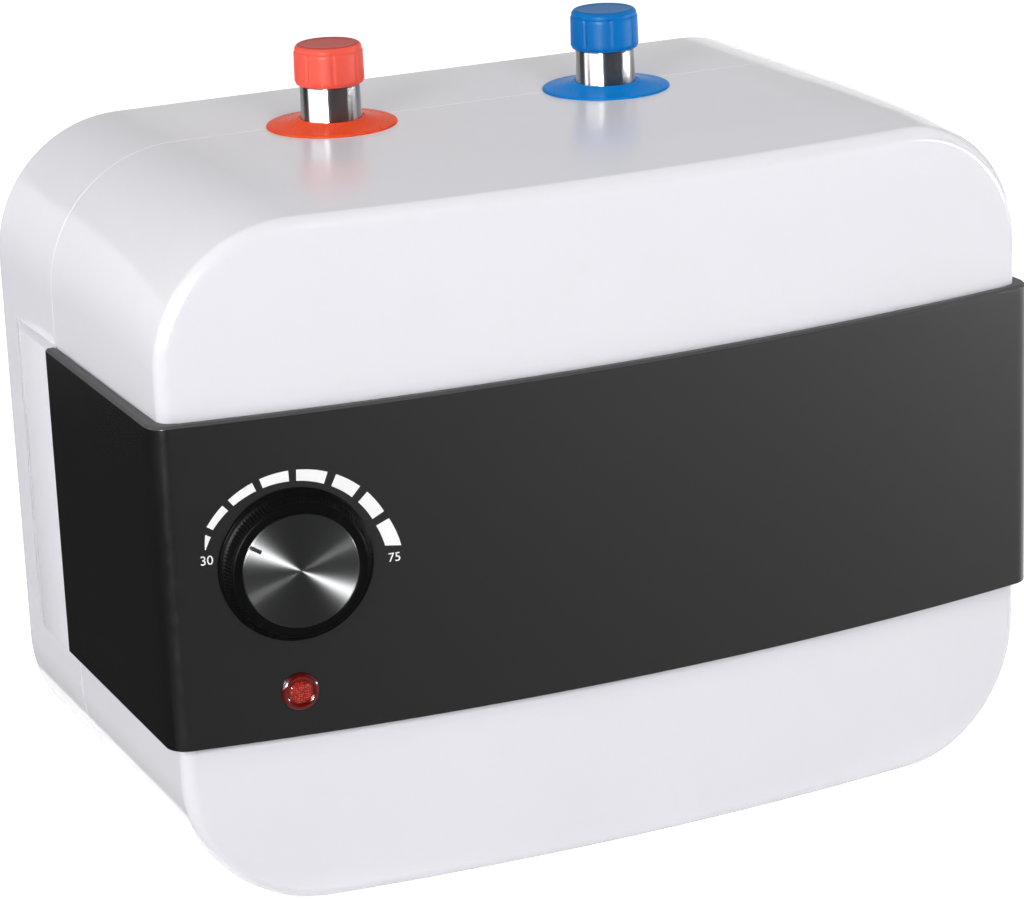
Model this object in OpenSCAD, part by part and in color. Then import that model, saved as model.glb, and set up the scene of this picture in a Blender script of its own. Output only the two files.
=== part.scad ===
// Compact electric storage water heater for under or over a sink: a white two-part casing,
// a black wrap-round control band with a thermostat knob and a lamp, and two capped pipe stubs.
// Millimetres. X is to the right, the front faces -Y, Z is up, and the casing stands on Z = 0.

/* [Casing] */
// Width across the sides, at the back
case_w = 333; // [310:1:360]
// Height from the base to the top face
case_h = 247; // [235:1:280]
// Depth from the middle of the bowed front to the back
case_d = 189; // [180:1:215]
// Wall of both shells
wall = 2.5; // [2:0.1:3]
// Radius of the four long corners
corner_r = 49; // [44:1:56]
// Rounding of the front edge
front_edge_r = 4.5; // [4:0.5:10]
// Rounding of the rear edge
rear_edge_r = 4; // [3.5:0.5:7]
// How far each side draws in towards the front
side_draft = 1; // [0:0.1:1.5]
// How far the top falls towards the front
top_fall = 3.9; // [0:0.1:5]
// Depth of the rear shell, from the seam to the back
rear_shell_d = 64.7; // [60:0.1:69]
// Depth of the bow of the front, across the band's width
bow = 15.2; // [8:0.1:18]

/* [Band] */
// Height of the band
band_h = 115.2; // [105:0.1:125]
// Height of the band's lower edge over the base
band_z = 63.4; // [58:0.1:70]
// Wall of the band
band_t = 3.2; // [2.6:0.1:3.2]
// How far the band's outer face stands proud of the casing
band_proud = 3.6; // [3.6:0.1:5]
// Rounding of the band's two upright corners
band_corner_r = 8; // [6:0.5:12]
// Distance of the stakes that hold the band from the middle
stake_x = 80; // [60:1:90]
// Radius of a stake
stake_r = 2.5; // [2:0.1:3]

/* [Controls] */
// Distance of the knob's axis from the band's end
knob_from_end = 45.8; // [42:0.1:52]
// Height of the knob's axis over the band's lower edge
knob_up = 62.1; // [58:0.1:66]
// Radius of the knob's skirt
knob_r = 26.7; // [25:0.1:29]
// Height of the knob
knob_h = 6.6; // [6.4:0.1:12]
// Radius of the spun metal disc in the knob
disc_r = 20.2; // [17:0.1:21]
// Radius of the thermostat's spindle
spindle_r = 3; // [2.5:0.1:3.5]
// Angle of the pointer at rest, anticlockwise from the right
pointer_angle = 148; // [0:1:180]
// Radius of the thermostat's housing
stat_r = 20; // [19:0.1:22]
// Depth of the thermostat's housing
stat_d = 22; // [18:0.5:24]
// Distance of the lamp's axis from the band's end
lamp_from_end = 44.6; // [40:0.1:50]
// Height of the lamp over the band's lower edge
lamp_up = 16.5; // [14:0.1:18]
// Radius of the lamp's lens
lamp_r = 6.6; // [6:0.1:7.5]

/* [Tank] */
// Thickness of the foam at the sides, above and below
foam_t = 20; // [17:0.5:24]
// Thickness of the foam behind the tank
foam_back_t = 15; // [14:0.5:20]
// Space for the controls between the front shell and the tank
control_space = 44; // [42:0.5:50]
// Wall of the tank
tank_wall = 1.5; // [1.2:0.1:2]
// Radius of the tank's corners
tank_corner_r = 38; // [30:1:45]

/* [Pipes] */
// Distance between the two pipes
pipe_pitch = 110; // [100:1:120]
// How far the pair of pipes stands to the right of the middle
pipe_shift = -3.4; // [-6:0.1:6]
// Distance of the pipes from the back
pipe_back = 70.5; // [68:0.1:74]
// Radius of a pipe's polished neck
pipe_r = 11; // [10.6:0.1:11.5]
// Radius of a pipe's bore
pipe_bore_r = 8; // [7:0.1:8.5]
// Radius over the thread that a cap screws onto
thread_r = 10.4; // [10.2:0.05:10.5]
// Length of the thread
thread_l = 10.9; // [9:0.1:14]
// Height of the polished neck over the casing
neck_h = 15; // [11:0.1:20]
// Radius of the coloured ring at a pipe's foot
ring_r = 23.7; // [20:0.1:26]
// Height of the ring
ring_h = 2.8; // [2:0.1:5]
// Radius of a cap over its grip faces
cap_r = 12.8; // [12.6:0.1:14]
// Turn of a cap's grip edges when it is screwed down
cap_turn = 30; // [0:1:45]

/* [Heating] */
// Distance of the heater flange to the right of the middle
flange_x = 20; // [10:1:26]
// Height of the heater flange over the tank's bottom
flange_up = 57; // [52:1:64]
// Radius of the heater flange
flange_r = 42; // [41:0.5:44]
// Length of the heating tubes inside the tank
element_l = 92; // [70:1:100]
// Radius of a heating tube
element_r = 4; // [3:0.1:4.5]
// Radius of the anode rod
anode_r = 7; // [5:0.5:8]

/* [Fixings] */
// Distance between the two keyholes on the back
keyhole_pitch = 150; // [130:1:160]
// Radius of a keyhole's round entry
keyhole_r = 6; // [5.5:0.1:7]
// Distance from the casing's top down to the keyholes
keyhole_drop = 59; // [51:1:67]
// Distance of the casing screws from the sides, top and base
boss_inset = 25; // [24:0.5:27]
// Radius of a casing screw's boss
boss_r = 5; // [4.6:0.1:5.5]

/* [Hidden] */
$fn = 64;

// Clearances
touch = 0.05;    // between parts that fit in each other
gap = 0.3;       // between parts that only lie close
hole_gap = 0.4;  // around what passes through a wall
over = 1;        // how far a cut runs past a face

// Places of the casing's faces and of the bow
front_y = -case_d / 2;
rear_y = case_d / 2;
seam_y = rear_y - rear_shell_d;
band_hw = case_w / 2 + band_proud;
bow_r = (band_hw * band_hw + bow * bow) / (2 * bow);
bow_y = front_y - band_proud + bow_r;
case_bow_r = bow_r - band_proud;

// Steps of the rounded shells
arc_n = 10;
top_n = 10;
edge_n = 4;
inner_n = 2;
front_inner_r = max(front_edge_r - wall, 1);
rear_inner_r = max(rear_edge_r - wall, 1);
seam_bevel = 0.4;
lip = 4;
lip_t = 1.5;
lip_gap = 0.2;

// Pipes, rings and caps
hot_x = pipe_shift - pipe_pitch / 2;
cold_x = pipe_shift + pipe_pitch / 2;
pipe_y = rear_y - pipe_back;
notch_r = pipe_r + 1.3;
crown_y = pipe_y - ring_r - over;
cap_gap = 0.3;
cap_z = case_h + neck_h + cap_gap;
pipe_top = case_h + neck_h + cap_gap + thread_l;
seal_t = 1.5;
cap_lid = 2;
cap_h = thread_l + touch + seal_t + touch + cap_lid;
cap_bore_r = thread_r + cap_gap;
cap_body_r = cap_r - 0.5;
cap_grips = 8;
grip_r = cap_body_r + 0.1;
collar_r = 15;
collar_h = 4;
dip_r = pipe_bore_r - touch;
dip_wall = 1.4;

// Foam and tank
foam_inset = side_draft + wall + lip_gap + lip_t + hole_gap;
foam_hw = case_w / 2 - foam_inset;
foam_z0 = foam_inset - side_draft;
foam_z1 = case_h - top_fall - foam_z0;
foam_r = corner_r - foam_z0;
foam_y1 = rear_y - wall - gap;
foam_front_t = 6;
tank_hw = foam_hw - foam_t;
tank_z0 = foam_z0 + foam_t;
tank_z1 = foam_z1 - foam_t;
tank_y0 = front_y + wall + control_space;
tank_y1 = foam_y1 - foam_back_t;

// Controls, in the bow's own frame
knob_x = -band_hw + knob_from_end;
knob_z = band_z + knob_up;
lamp_x = -band_hw + lamp_from_end;
lamp_z = band_z + lamp_up;
knob_gap = 0.6;
knob_top = knob_gap + knob_h;
disc_seat = knob_top - 1.1;
hub_r = spindle_r + 4;
skin_in = -(band_proud + wall);
stat_plate = skin_in - gap;
stat_plate_t = 2;
stat_back = stat_plate - stat_plate_t - stat_d;
bush_r = spindle_r + 2;
stat_screw_x = stat_r - 6;
stat_screw_r = 1.7;
stat_screw_head_r = 3.6;
blade_l = 7;
blade_y = 6;
blade_z = stat_back + 10;
blade_run = 8;
nipple_x = 12;
nipple_y = -(stat_r + 4);
lamp_body_r = lamp_r - 1.3;
lamp_seat = -band_t;
lamp_back = -24;

// Heater flange
flange_z = tank_z0 + flange_up;
flange_bore_r = flange_r - 12;
gasket_t = 3;
flange_t = 5;
flange_y1 = tank_y0 - gasket_t;
flange_y0 = flange_y1 - flange_t;
stud_r = 3;
stud_pcd_r = flange_r - 7;
nut_h = 5;
nut_r = 5.5;
element_x = 14;
element_z = 9;
pin_r = 1.6;
pin_y = flange_y0 - 12;
well_r = 4.5;
well_wall = 1;
well_z = flange_z - 20;
anode_stud_r = 2.4;
earth_x = flange_x + flange_bore_r - 4;
earth_stud_r = 2;
earth_y = flange_y0 - 10;

// Wired parts on the tank's front
cutout_x = flange_x - 65;
cutout_z = flange_z + 70;
cutout_r = 12;
cutout_cap_y = tank_y0 - 9;
cutout_front_y = tank_y0 - 14;
cutout_tab_y = cutout_front_y - 8;
cutout_tab_x = 5;
cutout_tab_t = 0.8;
cutout_tab_h = 6;
block_w = 46;
block_h = 24;
block_d = 20;
block_x = tank_hw - block_w - 7;
block_z = flange_z - 12;
block_y = tank_y0 - block_d;
block_hole_r = 2;
block_hole_l = 6;
block_hole_in = 4;
lead_r = 1.6;
live_rise = 22;
switched_drop = 14;
neutral_rise = 26;
earth_drop = 12;
capillary_r = 0.9;

// Back of the casing
pocket_d = 11;
pocket_wall = 2;
plate_w = keyhole_pitch + 50;
plate_h = 36;
plate_t = 2;
plate_y1 = rear_y - 0.5;
plate_y0 = plate_y1 - plate_t;
keyhole_z = case_h - keyhole_drop;
plate_z = keyhole_z + 5;
keyhole_slot_r = 3.5;
keyhole_rise = 10;
pocket_w = plate_w + 2;
pocket_h = plate_h + 2;
pocket_y = rear_y - pocket_d;
post_x = plate_w / 2 - 8;
plate_screw_r = 1.5;
plate_screw_head_r = 3.5;
gland_x = tank_hw + 10;
gland_z = flange_z + 1;
gland_r = 6;
gland_bore_r = 3.8;
gland_flange_r = 9;
gland_flange_t = 2.5;
screw_r = 1.7;
screw_head_r = 3.5;
screw_head_h = 2.6;
screw_seat_y = seam_y + 12;
screw_l = 30;

white = "#ecebf0";
black = "#232324";
red = "#ee4b38";
blue = "#1268c8";
chrome = "#d9dbde";
steel = "#9fa3a8";

// Depth of a bowed face of radius r at a place across the front
function bow_face(x, r) = bow_y - sqrt(r * r - x * x);
// Turn of the bowed front about Z at a place across it
function bow_turn(x) = asin(x / bow_r);
// A point given on the front at x and z, by how far right, up and out of the band's face it lies
function on_face(x, z, p) = let (a = bow_turn(x))
    [x + p[0] * cos(a) + p[2] * sin(a), bow_face(x, bow_r) + p[0] * sin(a) - p[2] * cos(a), z + p[1]];

function half_w(y) = case_w / 2 - side_draft * (rear_y - y) / case_d;
function roof(y) = case_h - top_fall * pow(max(0, (crown_y - y) / (crown_y - front_y)), 2);
function fall_y(t) = crown_y + t * (front_y - crown_y);

// Upper half of the casing's outline, from the left side over the top to the right side
function upper_half(hw, z1, r) = concat(
    [for (i = [0 : arc_n]) let (a = 180 - 90 * i / arc_n) [r - hw + r * cos(a), z1 - r + r * sin(a)]],
    [for (i = [1 : top_n - 1]) [(hw - r) * (2 * i / top_n - 1), z1]],
    [for (i = [0 : arc_n]) let (a = 90 - 90 * i / arc_n) [hw - r + r * cos(a), z1 - r + r * sin(a)]]);
// Whole outline, drawn in by inset, of the casing as it is at depth y
function outline(inset, y) = let (
        z1 = roof(y) - inset,
        up = upper_half(half_w(y) - inset, z1, corner_r - inset))
    concat(up, [for (i = [len(up) - 1 : -1 : 0]) [up[i][0], inset + z1 - up[i][1]]]);
function flat_ring(inset, y) = [for (p = outline(inset, y)) [p[0], y, p[1]]];
function bowed_ring(inset, depth) =
    [for (p = outline(inset, front_y + depth)) [p[0], bow_face(p[0], case_bow_r) + depth, p[1]]];

// A closed skin over a row of outlines, with upright strips over the first and the last one
module skin(rings, from_back) {
    m = len(rings[0]);
    last = (len(rings) - 1) * m;
    faces = concat(
        [for (i = [0 : m / 2 - 2]) [i, i + 1, m - 2 - i, m - 1 - i]],
        [for (k = [0 : len(rings) - 2], j = [0 : m - 1]) let (a = k * m + j, b = k * m + (j + 1) % m) each
            [[a, a + m, b + m], [a, b + m, b]]],
        [for (i = [0 : m / 2 - 2]) [last + m - 1 - i, last + m - 2 - i, last + i + 1, last + i]]);
    polyhedron(
        points = [for (ring = rings) each ring],
        faces = from_back ? [for (f = faces) [for (i = [len(f) - 1 : -1 : 0]) f[i]]] : faces);
}

// A cylinder along Y from y0 to y1
module bar_y(x, z, y0, y1, r) translate([x, y0, z]) rotate([-90, 0, 0]) cylinder(h = y1 - y0, r = r);
// A flat drawing in X and Z, given depth from y0 to y1
module deep(y0, y1) translate([0, y1, 0]) rotate([90, 0, 0]) linear_extrude(y1 - y0) children();
// A rectangle with round corners between two heights, about X = 0
module round_rect(hw, z0, z1, r) {
    translate([-hw, z0 + r]) square([2 * hw, z1 - z0 - 2 * r]);
    translate([r - hw, z0]) square([2 * (hw - r), z1 - z0]);
    for (x = [r - hw, hw - r], z = [z0 + r, z1 - r]) translate([x, z]) circle(r);
}
// Children drawn with X to the right, Y up and Z out of the band's face, at a place on the front
module at_front(x, z) translate([x, bow_face(x, bow_r), z]) rotate([90, 0, bow_turn(x)]) children();
// A cylinder about the local Z from z0 to z1
module post(z0, z1, r) translate([0, 0, z0]) cylinder(h = z1 - z0, r = r);
// A round lead along a row of points, with flat ends
module lead(points, r) {
    for (i = [0 : len(points) - 2]) {
        d = points[i + 1] - points[i];
        translate(points[i]) rotate([0, acos(d[2] / norm(d)), atan2(d[1], d[0])])
            cylinder(h = norm(d), r = r);
    }
    for (i = [1 : len(points) - 2]) translate(points[i]) sphere(r);
}
module each_boss() for (s = [-1, 1], z = [boss_inset, case_h - boss_inset])
    translate([s * (case_w / 2 - boss_inset), 0, z]) children();
module each_stake() for (x = [-stake_x, stake_x], z = [12, band_h - 12]) at_front(x, band_z + z) children();
module each_stud() for (a = [45 : 90 : 315])
    translate([flange_x + stud_pcd_r * cos(a), 0, flange_z + stud_pcd_r * sin(a)]) children();
module each_tube() for (x = [-1, 1]) translate([flange_x + x * element_x, 0, flange_z]) children();
module each_leg() each_tube() for (z = [-element_z, element_z]) translate([0, 0, z]) children();

// The two notches at the seam through which the pipes leave the casing
module pipe_notches() for (x = [hot_x, cold_x]) {
    translate([x, pipe_y, case_h / 2]) cylinder(h = case_h, r = notch_r);
    y0 = min(pipe_y, seam_y - lip - over);
    translate([x - notch_r, y0, case_h / 2]) cube([2 * notch_r, max(pipe_y, seam_y) - y0, case_h]);
}
// What passes through the band and the front shell
module stat_holes(head_r) at_front(knob_x, knob_z) {
    post(skin_in - over, over, bush_r + hole_gap);
    for (s = [-1, 1]) translate([s * stat_screw_x, 0, 0]) post(skin_in - over, over, head_r);
}

module front_shell() color(white) difference() {
    union() {
        skin(concat(
            [for (i = [0 : edge_n]) let (a = 90 * i / edge_n, e = front_edge_r)
                bowed_ring(e * (1 - sin(a)), e * (1 - cos(a)))],
            [for (t = [0.6, 0.3, 0]) flat_ring(0, fall_y(t))],
            [flat_ring(0, seam_y - seam_bevel), flat_ring(seam_bevel, seam_y), flat_ring(wall, seam_y)],
            [for (t = [0, 0.3, 0.6]) flat_ring(wall, fall_y(t))],
            [for (i = [inner_n : -1 : 0]) let (a = 90 * i / inner_n, e = front_inner_r)
                bowed_ring(wall + e * (1 - sin(a)), wall + e * (1 - cos(a)))]), false);
        boss_y = bow_face(case_w / 2 - boss_inset, case_bow_r) + wall / 2;
        each_boss() bar_y(0, 0, boss_y, seam_y, boss_r);
    }
    each_boss() bar_y(0, 0, screw_seat_y - screw_l - over, seam_y + over, screw_r + touch);
    pipe_notches();
    stat_holes(stat_screw_r + hole_gap);
    at_front(lamp_x, lamp_z) post(skin_in - over, over, lamp_body_r + hole_gap);
    each_stake() post(skin_in - over, over, stake_r + gap);
}

module rear_shell() color(white) difference() {
    union() {
        skin(concat(
            [for (i = [0 : edge_n]) let (a = 90 * i / edge_n, e = rear_edge_r)
                flat_ring(e * (1 - sin(a)), rear_y - e * (1 - cos(a)))],
            [flat_ring(0, seam_y + seam_bevel), flat_ring(seam_bevel, seam_y)],
            [for (y = [seam_y, seam_y - lip]) flat_ring(wall + lip_gap, y)],
            [for (y = [seam_y - lip, seam_y]) flat_ring(wall + lip_gap + lip_t, y)],
            [flat_ring(wall, seam_y + lip)],
            [for (i = [inner_n : -1 : 0]) let (a = 90 * i / inner_n, e = rear_inner_r)
                flat_ring(wall + e * (1 - sin(a)), rear_y - wall - e * (1 - cos(a)))]), true);
        each_boss() bar_y(0, 0, seam_y, rear_y - wall / 2, boss_r);
        pocket(pocket_wall, rear_y - wall / 2);
        for (s = [0, 1]) mirror([s, 0, 0]) side_rail();
    }
    each_boss() {
        bar_y(0, 0, seam_y - over, rear_y, screw_r + hole_gap);
        bar_y(0, 0, screw_seat_y, rear_y + over, screw_head_r + gap);
    }
    pipe_notches();
    difference() {
        pocket(0, rear_y + over);
        for (s = [-1, 1]) bar_y(s * post_x, plate_z, pocket_y - over, plate_y0, 2 * plate_screw_head_r);
    }
    for (s = [-1, 1]) bar_y(s * post_x, plate_z, pocket_y - 0.5, rear_y, plate_screw_r + touch);
    bar_y(gland_x, gland_z, rear_y - wall - over, rear_y + over, gland_r + touch);
}
// The recess for the hanging plate, grown by t, as far back as y1
module pocket(t, y1) translate([-pocket_w / 2 - t, pocket_y - t, plate_z - pocket_h / 2 - t])
    cube([pocket_w + 2 * t, y1 - pocket_y + t, pocket_h + 2 * t]);
// Raised rail that carries the band's line on towards the back
module side_rail() {
    rail_w = half_w(seam_y) - wall / 2;
    rail_y = seam_y + 29.8;
    slope = 16.3;
    translate([0, 0, band_z]) linear_extrude(band_h) polygon([
        [rail_w, seam_y], [band_hw, seam_y], [band_hw, rail_y],
        [half_w(rail_y + slope), rail_y + slope], [rail_w, rail_y + slope]]);
}

module control_band() color(black) {
    difference() {
        translate([0, 0, band_z]) linear_extrude(band_h) difference() {
            wrap(band_hw, bow_r, band_corner_r, seam_y - gap);
            wrap(band_hw - band_t, bow_r - band_t, band_corner_r - band_t, seam_y + over);
        }
        stat_holes(stat_screw_head_r + gap);
        at_front(lamp_x, lamp_z) post(skin_in - over, over, lamp_body_r + gap);
    }
    stake_head = skin_in - gap;
    each_stake() {
        post(stake_head - 1.6, -band_t / 2, stake_r);
        post(stake_head - 1.6, stake_head, stake_r + 1.7);
    }
}
// Plan of the band's outer or inner face: a bowed front, two round corners and straight sides
module wrap(hw, r, corner, y1) {
    x = hw - corner;
    y = bow_y - sqrt(pow(r - corner, 2) - x * x);
    intersection() {
        translate([0, bow_y]) circle(r, $fn = 360);
        translate([-x, bow_y - r - over]) square([2 * x, y1 - bow_y + r + over]);
    }
    for (s = [-1, 1]) translate([s * x, y]) circle(corner);
    for (s = [0, 1]) mirror([s, 0]) translate([x, y]) square([corner, y1 - y]);
}

module thermostat_knob() color(black) at_front(knob_x, knob_z) difference() {
    rim = knob_r - 3;
    lid = disc_seat - 2.3;
    rotate_extrude() polygon([
        [0, disc_seat - 1.3], [spindle_r + touch, disc_seat - 1.3], [spindle_r + touch, knob_gap],
        [hub_r, knob_gap], [hub_r, lid], [rim - 2.2, lid], [knob_r - 2.5, knob_gap],
        [knob_r, knob_gap], [knob_r, knob_gap + 1], [knob_r - 1, knob_gap + 2],
        [rim, knob_top - 0.8], [rim - 0.8, knob_top], [disc_r + touch, knob_top],
        [disc_r + touch, disc_seat], [0, disc_seat]]);
}
module knob_disc() color(chrome) at_front(knob_x, knob_z) difference() {
    rotate_extrude() polygon([
        [0, disc_seat], [disc_r, disc_seat], [disc_r, knob_top], [disc_r - 0.5, knob_top + 0.4],
        [0, knob_top + 0.4]]);
    rotate([0, 0, pointer_angle]) translate([disc_r - 4.5, -0.7, knob_top - 0.4]) cube([5, 1.4, over]);
}
module thermostat_spindle() color(steel) at_front(knob_x, knob_z)
    post(stat_plate - 12, disc_seat - 1.3 - gap, spindle_r);

module thermostat() color("#d8d2c2") at_front(knob_x, knob_z) {
    difference() {
        union() {
            post(stat_plate - stat_plate_t, stat_plate, stat_r + 1);
            post(stat_back, stat_plate, stat_r);
            post(stat_plate - over, knob_gap - over - gap, bush_r);
            for (s = [-1, 1]) translate([stat_r - over, s * blade_y - 0.4, blade_z - 3])
                cube([blade_l + over, 0.8, 6]);
            translate([nipple_x, nipple_y, blade_z]) rotate([-90, 0, 0]) cylinder(h = stat_r / 2, r = 2);
        }
        post(stat_plate - 12 - gap, over, spindle_r + touch);
        for (s = [-1, 1]) translate([s * stat_screw_x, 0, 0])
            post(stat_plate - 8, over, stat_screw_r + touch);
    }
}
module thermostat_screws() color(steel) at_front(knob_x, knob_z)
    for (s = [-1, 1]) translate([s * stat_screw_x, 0, 0]) {
        post(stat_plate - 7, over - band_proud, stat_screw_r);
        post(touch - band_proud, 2.2 - band_proud, stat_screw_head_r);
    }

module lamp_lens() color("#b01510", 0.85) at_front(lamp_x, lamp_z) {
    rim = lamp_r - 1;
    rotate_extrude() polygon(concat(
        [[0, lamp_seat], [lamp_body_r, lamp_seat], [lamp_body_r, touch], [lamp_r, touch], [lamp_r, 0.8]],
        [for (i = [0 : 6]) let (r = rim * (1 - i / 6)) [r, 1.2 + 0.9 * (1 - pow(r / rim, 2))]]));
}
module lamp_holder() color("#3a3a3c") at_front(lamp_x, lamp_z) difference() {
    post(lamp_back, lamp_seat, lamp_body_r);
    post(lamp_back + 3, lamp_seat + over, lamp_body_r - 1.2);
}
module lamp_clip() color(steel) at_front(lamp_x, lamp_z) difference() {
    post(skin_in - gap - 1, skin_in - gap, lamp_r + 2);
    post(skin_in - gap - 2, skin_in, lamp_body_r + touch);
}
module neon_bulb() color("#f2a56a", 0.8) at_front(lamp_x, lamp_z) {
    bulb_r = lamp_body_r - 2.6;
    post(lamp_back + 3, lamp_seat - 3 - bulb_r, bulb_r);
    translate([0, 0, lamp_seat - 3 - bulb_r]) sphere(bulb_r);
}

module inner_tank() color("#b9bec4") difference() {
    deep(tank_y0, tank_y1) round_rect(tank_hw, tank_z0, tank_z1, tank_corner_r);
    deep(tank_y0 + tank_wall, tank_y1 - tank_wall)
        round_rect(tank_hw - tank_wall, tank_z0 + tank_wall, tank_z1 - tank_wall, tank_corner_r - tank_wall);
    for (x = [hot_x, cold_x]) translate([x, pipe_y, 0])
        post(tank_z1 - tank_wall - over, case_h, pipe_r + touch);
    bar_y(flange_x, flange_z, tank_y0 - over, tank_y0 + tank_wall + over, flange_bore_r);
}
// Foam around the tank between two depths
module foam(y0, y1) difference() {
    deep(y0, y1) round_rect(foam_hw, foam_z0, foam_z1, foam_r);
    deep(tank_y0 - gap, tank_y1 + gap)
        round_rect(tank_hw + gap, tank_z0 - gap, tank_z1 + gap, tank_corner_r + gap);
    each_boss() bar_y(0, 0, front_y, rear_y, boss_r + hole_gap);
    for (x = [hot_x, cold_x]) translate([x, pipe_y, 0]) post(tank_z1 - over, case_h, collar_r + gap);
    bar_y(flange_x, flange_z, front_y, tank_y0 + over, flange_r + 2);
    bar_y(cutout_x, cutout_z, front_y, tank_y0 + over, cutout_r + 1.5);
    translate([block_x - 1, front_y, block_z - 1]) cube([block_w + 2, tank_y0 - front_y, block_h + 2]);
    bar_y(gland_x, gland_z, front_y, rear_y, gland_r - over);
    bar_y(gland_x, gland_z, rear_y - wall - gland_flange_t - gap, rear_y, gland_flange_r + gap);
    pocket(pocket_wall + gap, rear_y);
}
module foam_front() color("#f6f1dc") foam(tank_y0 - foam_front_t, pipe_y);
module foam_rear() color("#f3edd4") foam(pipe_y, foam_y1);

// A pipe stub: a collar on the tank, a polished neck and a thread at the top
module pipe(x) color(chrome) translate([x, pipe_y, 0]) difference() {
    union() {
        post(tank_z1 - 6, case_h + neck_h, pipe_r);
        post(tank_z1, tank_z1 + collar_h, collar_r);
        post(case_h, pipe_top, thread_r);
    }
    post(tank_z1 - 6 - over, pipe_top + over, pipe_bore_r);
}
module hot_pipe() pipe(hot_x);
module cold_pipe() pipe(cold_x);
module dip_tube() color("#e9e4d8") translate([cold_x, pipe_y, 0]) difference() {
    post(tank_z0 + tank_wall + 26, tank_z1 + 10, dip_r);
    post(tank_z0, case_h, dip_r - dip_wall);
    bar_y(0, tank_z0 + tank_wall + 34, -2 * dip_r, 2 * dip_r, 3);
}
module ring(x) translate([x, pipe_y, case_h]) rotate_extrude() polygon([
    [pipe_r + touch, 0], [ring_r, 0], [ring_r, 0.5], [ring_r - 0.5, 0.9],
    [pipe_r + 1.4, ring_h], [pipe_r + touch, ring_h]]);
module hot_ring() color(red) ring(hot_x);
module cold_ring() color(blue) ring(cold_x);

// A screw cap with broad grip faces
module cap(x) translate([x, pipe_y, cap_z]) difference() {
    union() {
        rotate_extrude() polygon([
            [0, 0], [cap_body_r - 0.3, 0], [cap_body_r, 0.4], [cap_body_r - 0.3, cap_h - 1.4],
            [cap_body_r - 1, cap_h - 0.4], [cap_body_r - 2, cap_h], [0, cap_h]]);
        intersection() {
            post(0.8, cap_h - 2.6, cap_r);
            rotate(cap_turn) cylinder(h = cap_h, r = grip_r / cos(180 / cap_grips), $fn = cap_grips);
        }
    }
    post(-over, cap_h - cap_lid, cap_bore_r);
}
module hot_cap() color(red) cap(hot_x);
module cold_cap() color(blue) cap(cold_x);
module cap_seal(x) color("#5a5a5c") translate([x, pipe_y, pipe_top + touch])
    post(0, seal_t, cap_bore_r - 0.2);
module hot_cap_seal() cap_seal(hot_x);
module cold_cap_seal() cap_seal(cold_x);

module heater_flange() color("#c2a14a") difference() {
    union() {
        bar_y(flange_x, flange_z, flange_y0, flange_y1, flange_r);
        bar_y(earth_x, flange_z, earth_y, flange_y1, earth_stud_r);
    }
    each_stud() bar_y(0, 0, flange_y0 - over, flange_y1 + over, stud_r + gap);
    each_leg() bar_y(0, 0, flange_y0 - over, flange_y1 + over, element_r + touch);
    bar_y(flange_x, well_z, flange_y0 - over, flange_y1 + over, well_r + touch);
    bar_y(flange_x, flange_z, flange_y0 - over, flange_y1 + over, anode_stud_r + touch);
}
module flange_gasket() color("#2b2b2b") difference() {
    bar_y(flange_x, flange_z, flange_y1, tank_y0, flange_r);
    bar_y(flange_x, flange_z, flange_y1 - over, tank_y0 + over, flange_bore_r);
    each_stud() bar_y(0, 0, flange_y1 - over, tank_y0 + over, stud_r + gap);
}
module tank_studs() color(steel) each_stud() bar_y(0, 0, flange_y0 - nut_h - 3, tank_y0, stud_r);
module nut(bore_r) difference() {
    translate([0, flange_y0 - nut_h, 0]) rotate([-90, 0, 0]) cylinder(h = nut_h, r = nut_r, $fn = 6);
    bar_y(0, 0, flange_y0 - nut_h - over, flange_y0 + over, bore_r + touch);
}
module flange_nuts() color(steel) {
    each_stud() nut(stud_r);
    translate([flange_x, 0, flange_z]) nut(anode_stud_r);
}
module heating_element() color("#b8763f") {
    each_leg() {
        bar_y(0, 0, flange_y0 - 4, tank_y0 + element_l, element_r);
        bar_y(0, 0, pin_y, flange_y0 - 3, pin_r);
    }
    each_tube() translate([0, tank_y0 + element_l, 0]) rotate([0, 90, 0])
        rotate_extrude(angle = 180) translate([element_z, 0]) circle(element_r);
}
module anode_rod() color("#a7aaa6") {
    bar_y(flange_x, flange_z, flange_y1, tank_y0 + element_l - 8, anode_r);
    bar_y(flange_x, flange_z, flange_y0 - nut_h - 3, flange_y1 + over, anode_stud_r);
}
module thermowell() color("#b08d57") difference() {
    bar_y(flange_x, well_z, flange_y0 - 2, tank_y0 + element_l, well_r);
    bar_y(flange_x, well_z, flange_y0 - 2 - over, tank_y0 + element_l - 2, well_r - well_wall);
}
stat_nipple = on_face(knob_x, knob_z, [nipple_x, nipple_y, blade_z]);
module sensor_capillary() color("#c98b5a") {
    bar_y(flange_x, well_z, flange_y0 - 1, tank_y0 + element_l - 4, well_r - well_wall - touch);
    lead([
        [flange_x, flange_y0, well_z], [flange_x, stat_nipple[1], well_z],
        [stat_nipple[0], stat_nipple[1], well_z], stat_nipple], capillary_r);
}
module thermal_cutout() color("#caa24a") translate([cutout_x, 0, cutout_z]) {
    bar_y(0, 0, cutout_cap_y, tank_y0, cutout_r);
    bar_y(0, 0, cutout_front_y, cutout_cap_y, cutout_r - 3);
    for (s = [-1, 1]) translate([s * cutout_tab_x - cutout_tab_t / 2, cutout_tab_y, -cutout_tab_h / 2])
        cube([cutout_tab_t, tank_y0 - cutout_tab_y - 2, cutout_tab_h]);
}
module terminal_block() color("#e7e3d6") difference() {
    translate([block_x, block_y, block_z]) cube([block_w, block_d, block_h]);
    for (i = [0 : 2]) bar_y(block_spot(i)[0], block_z + block_hole_in,
        block_y - over, block_y + block_hole_l, block_hole_r);
}

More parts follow.
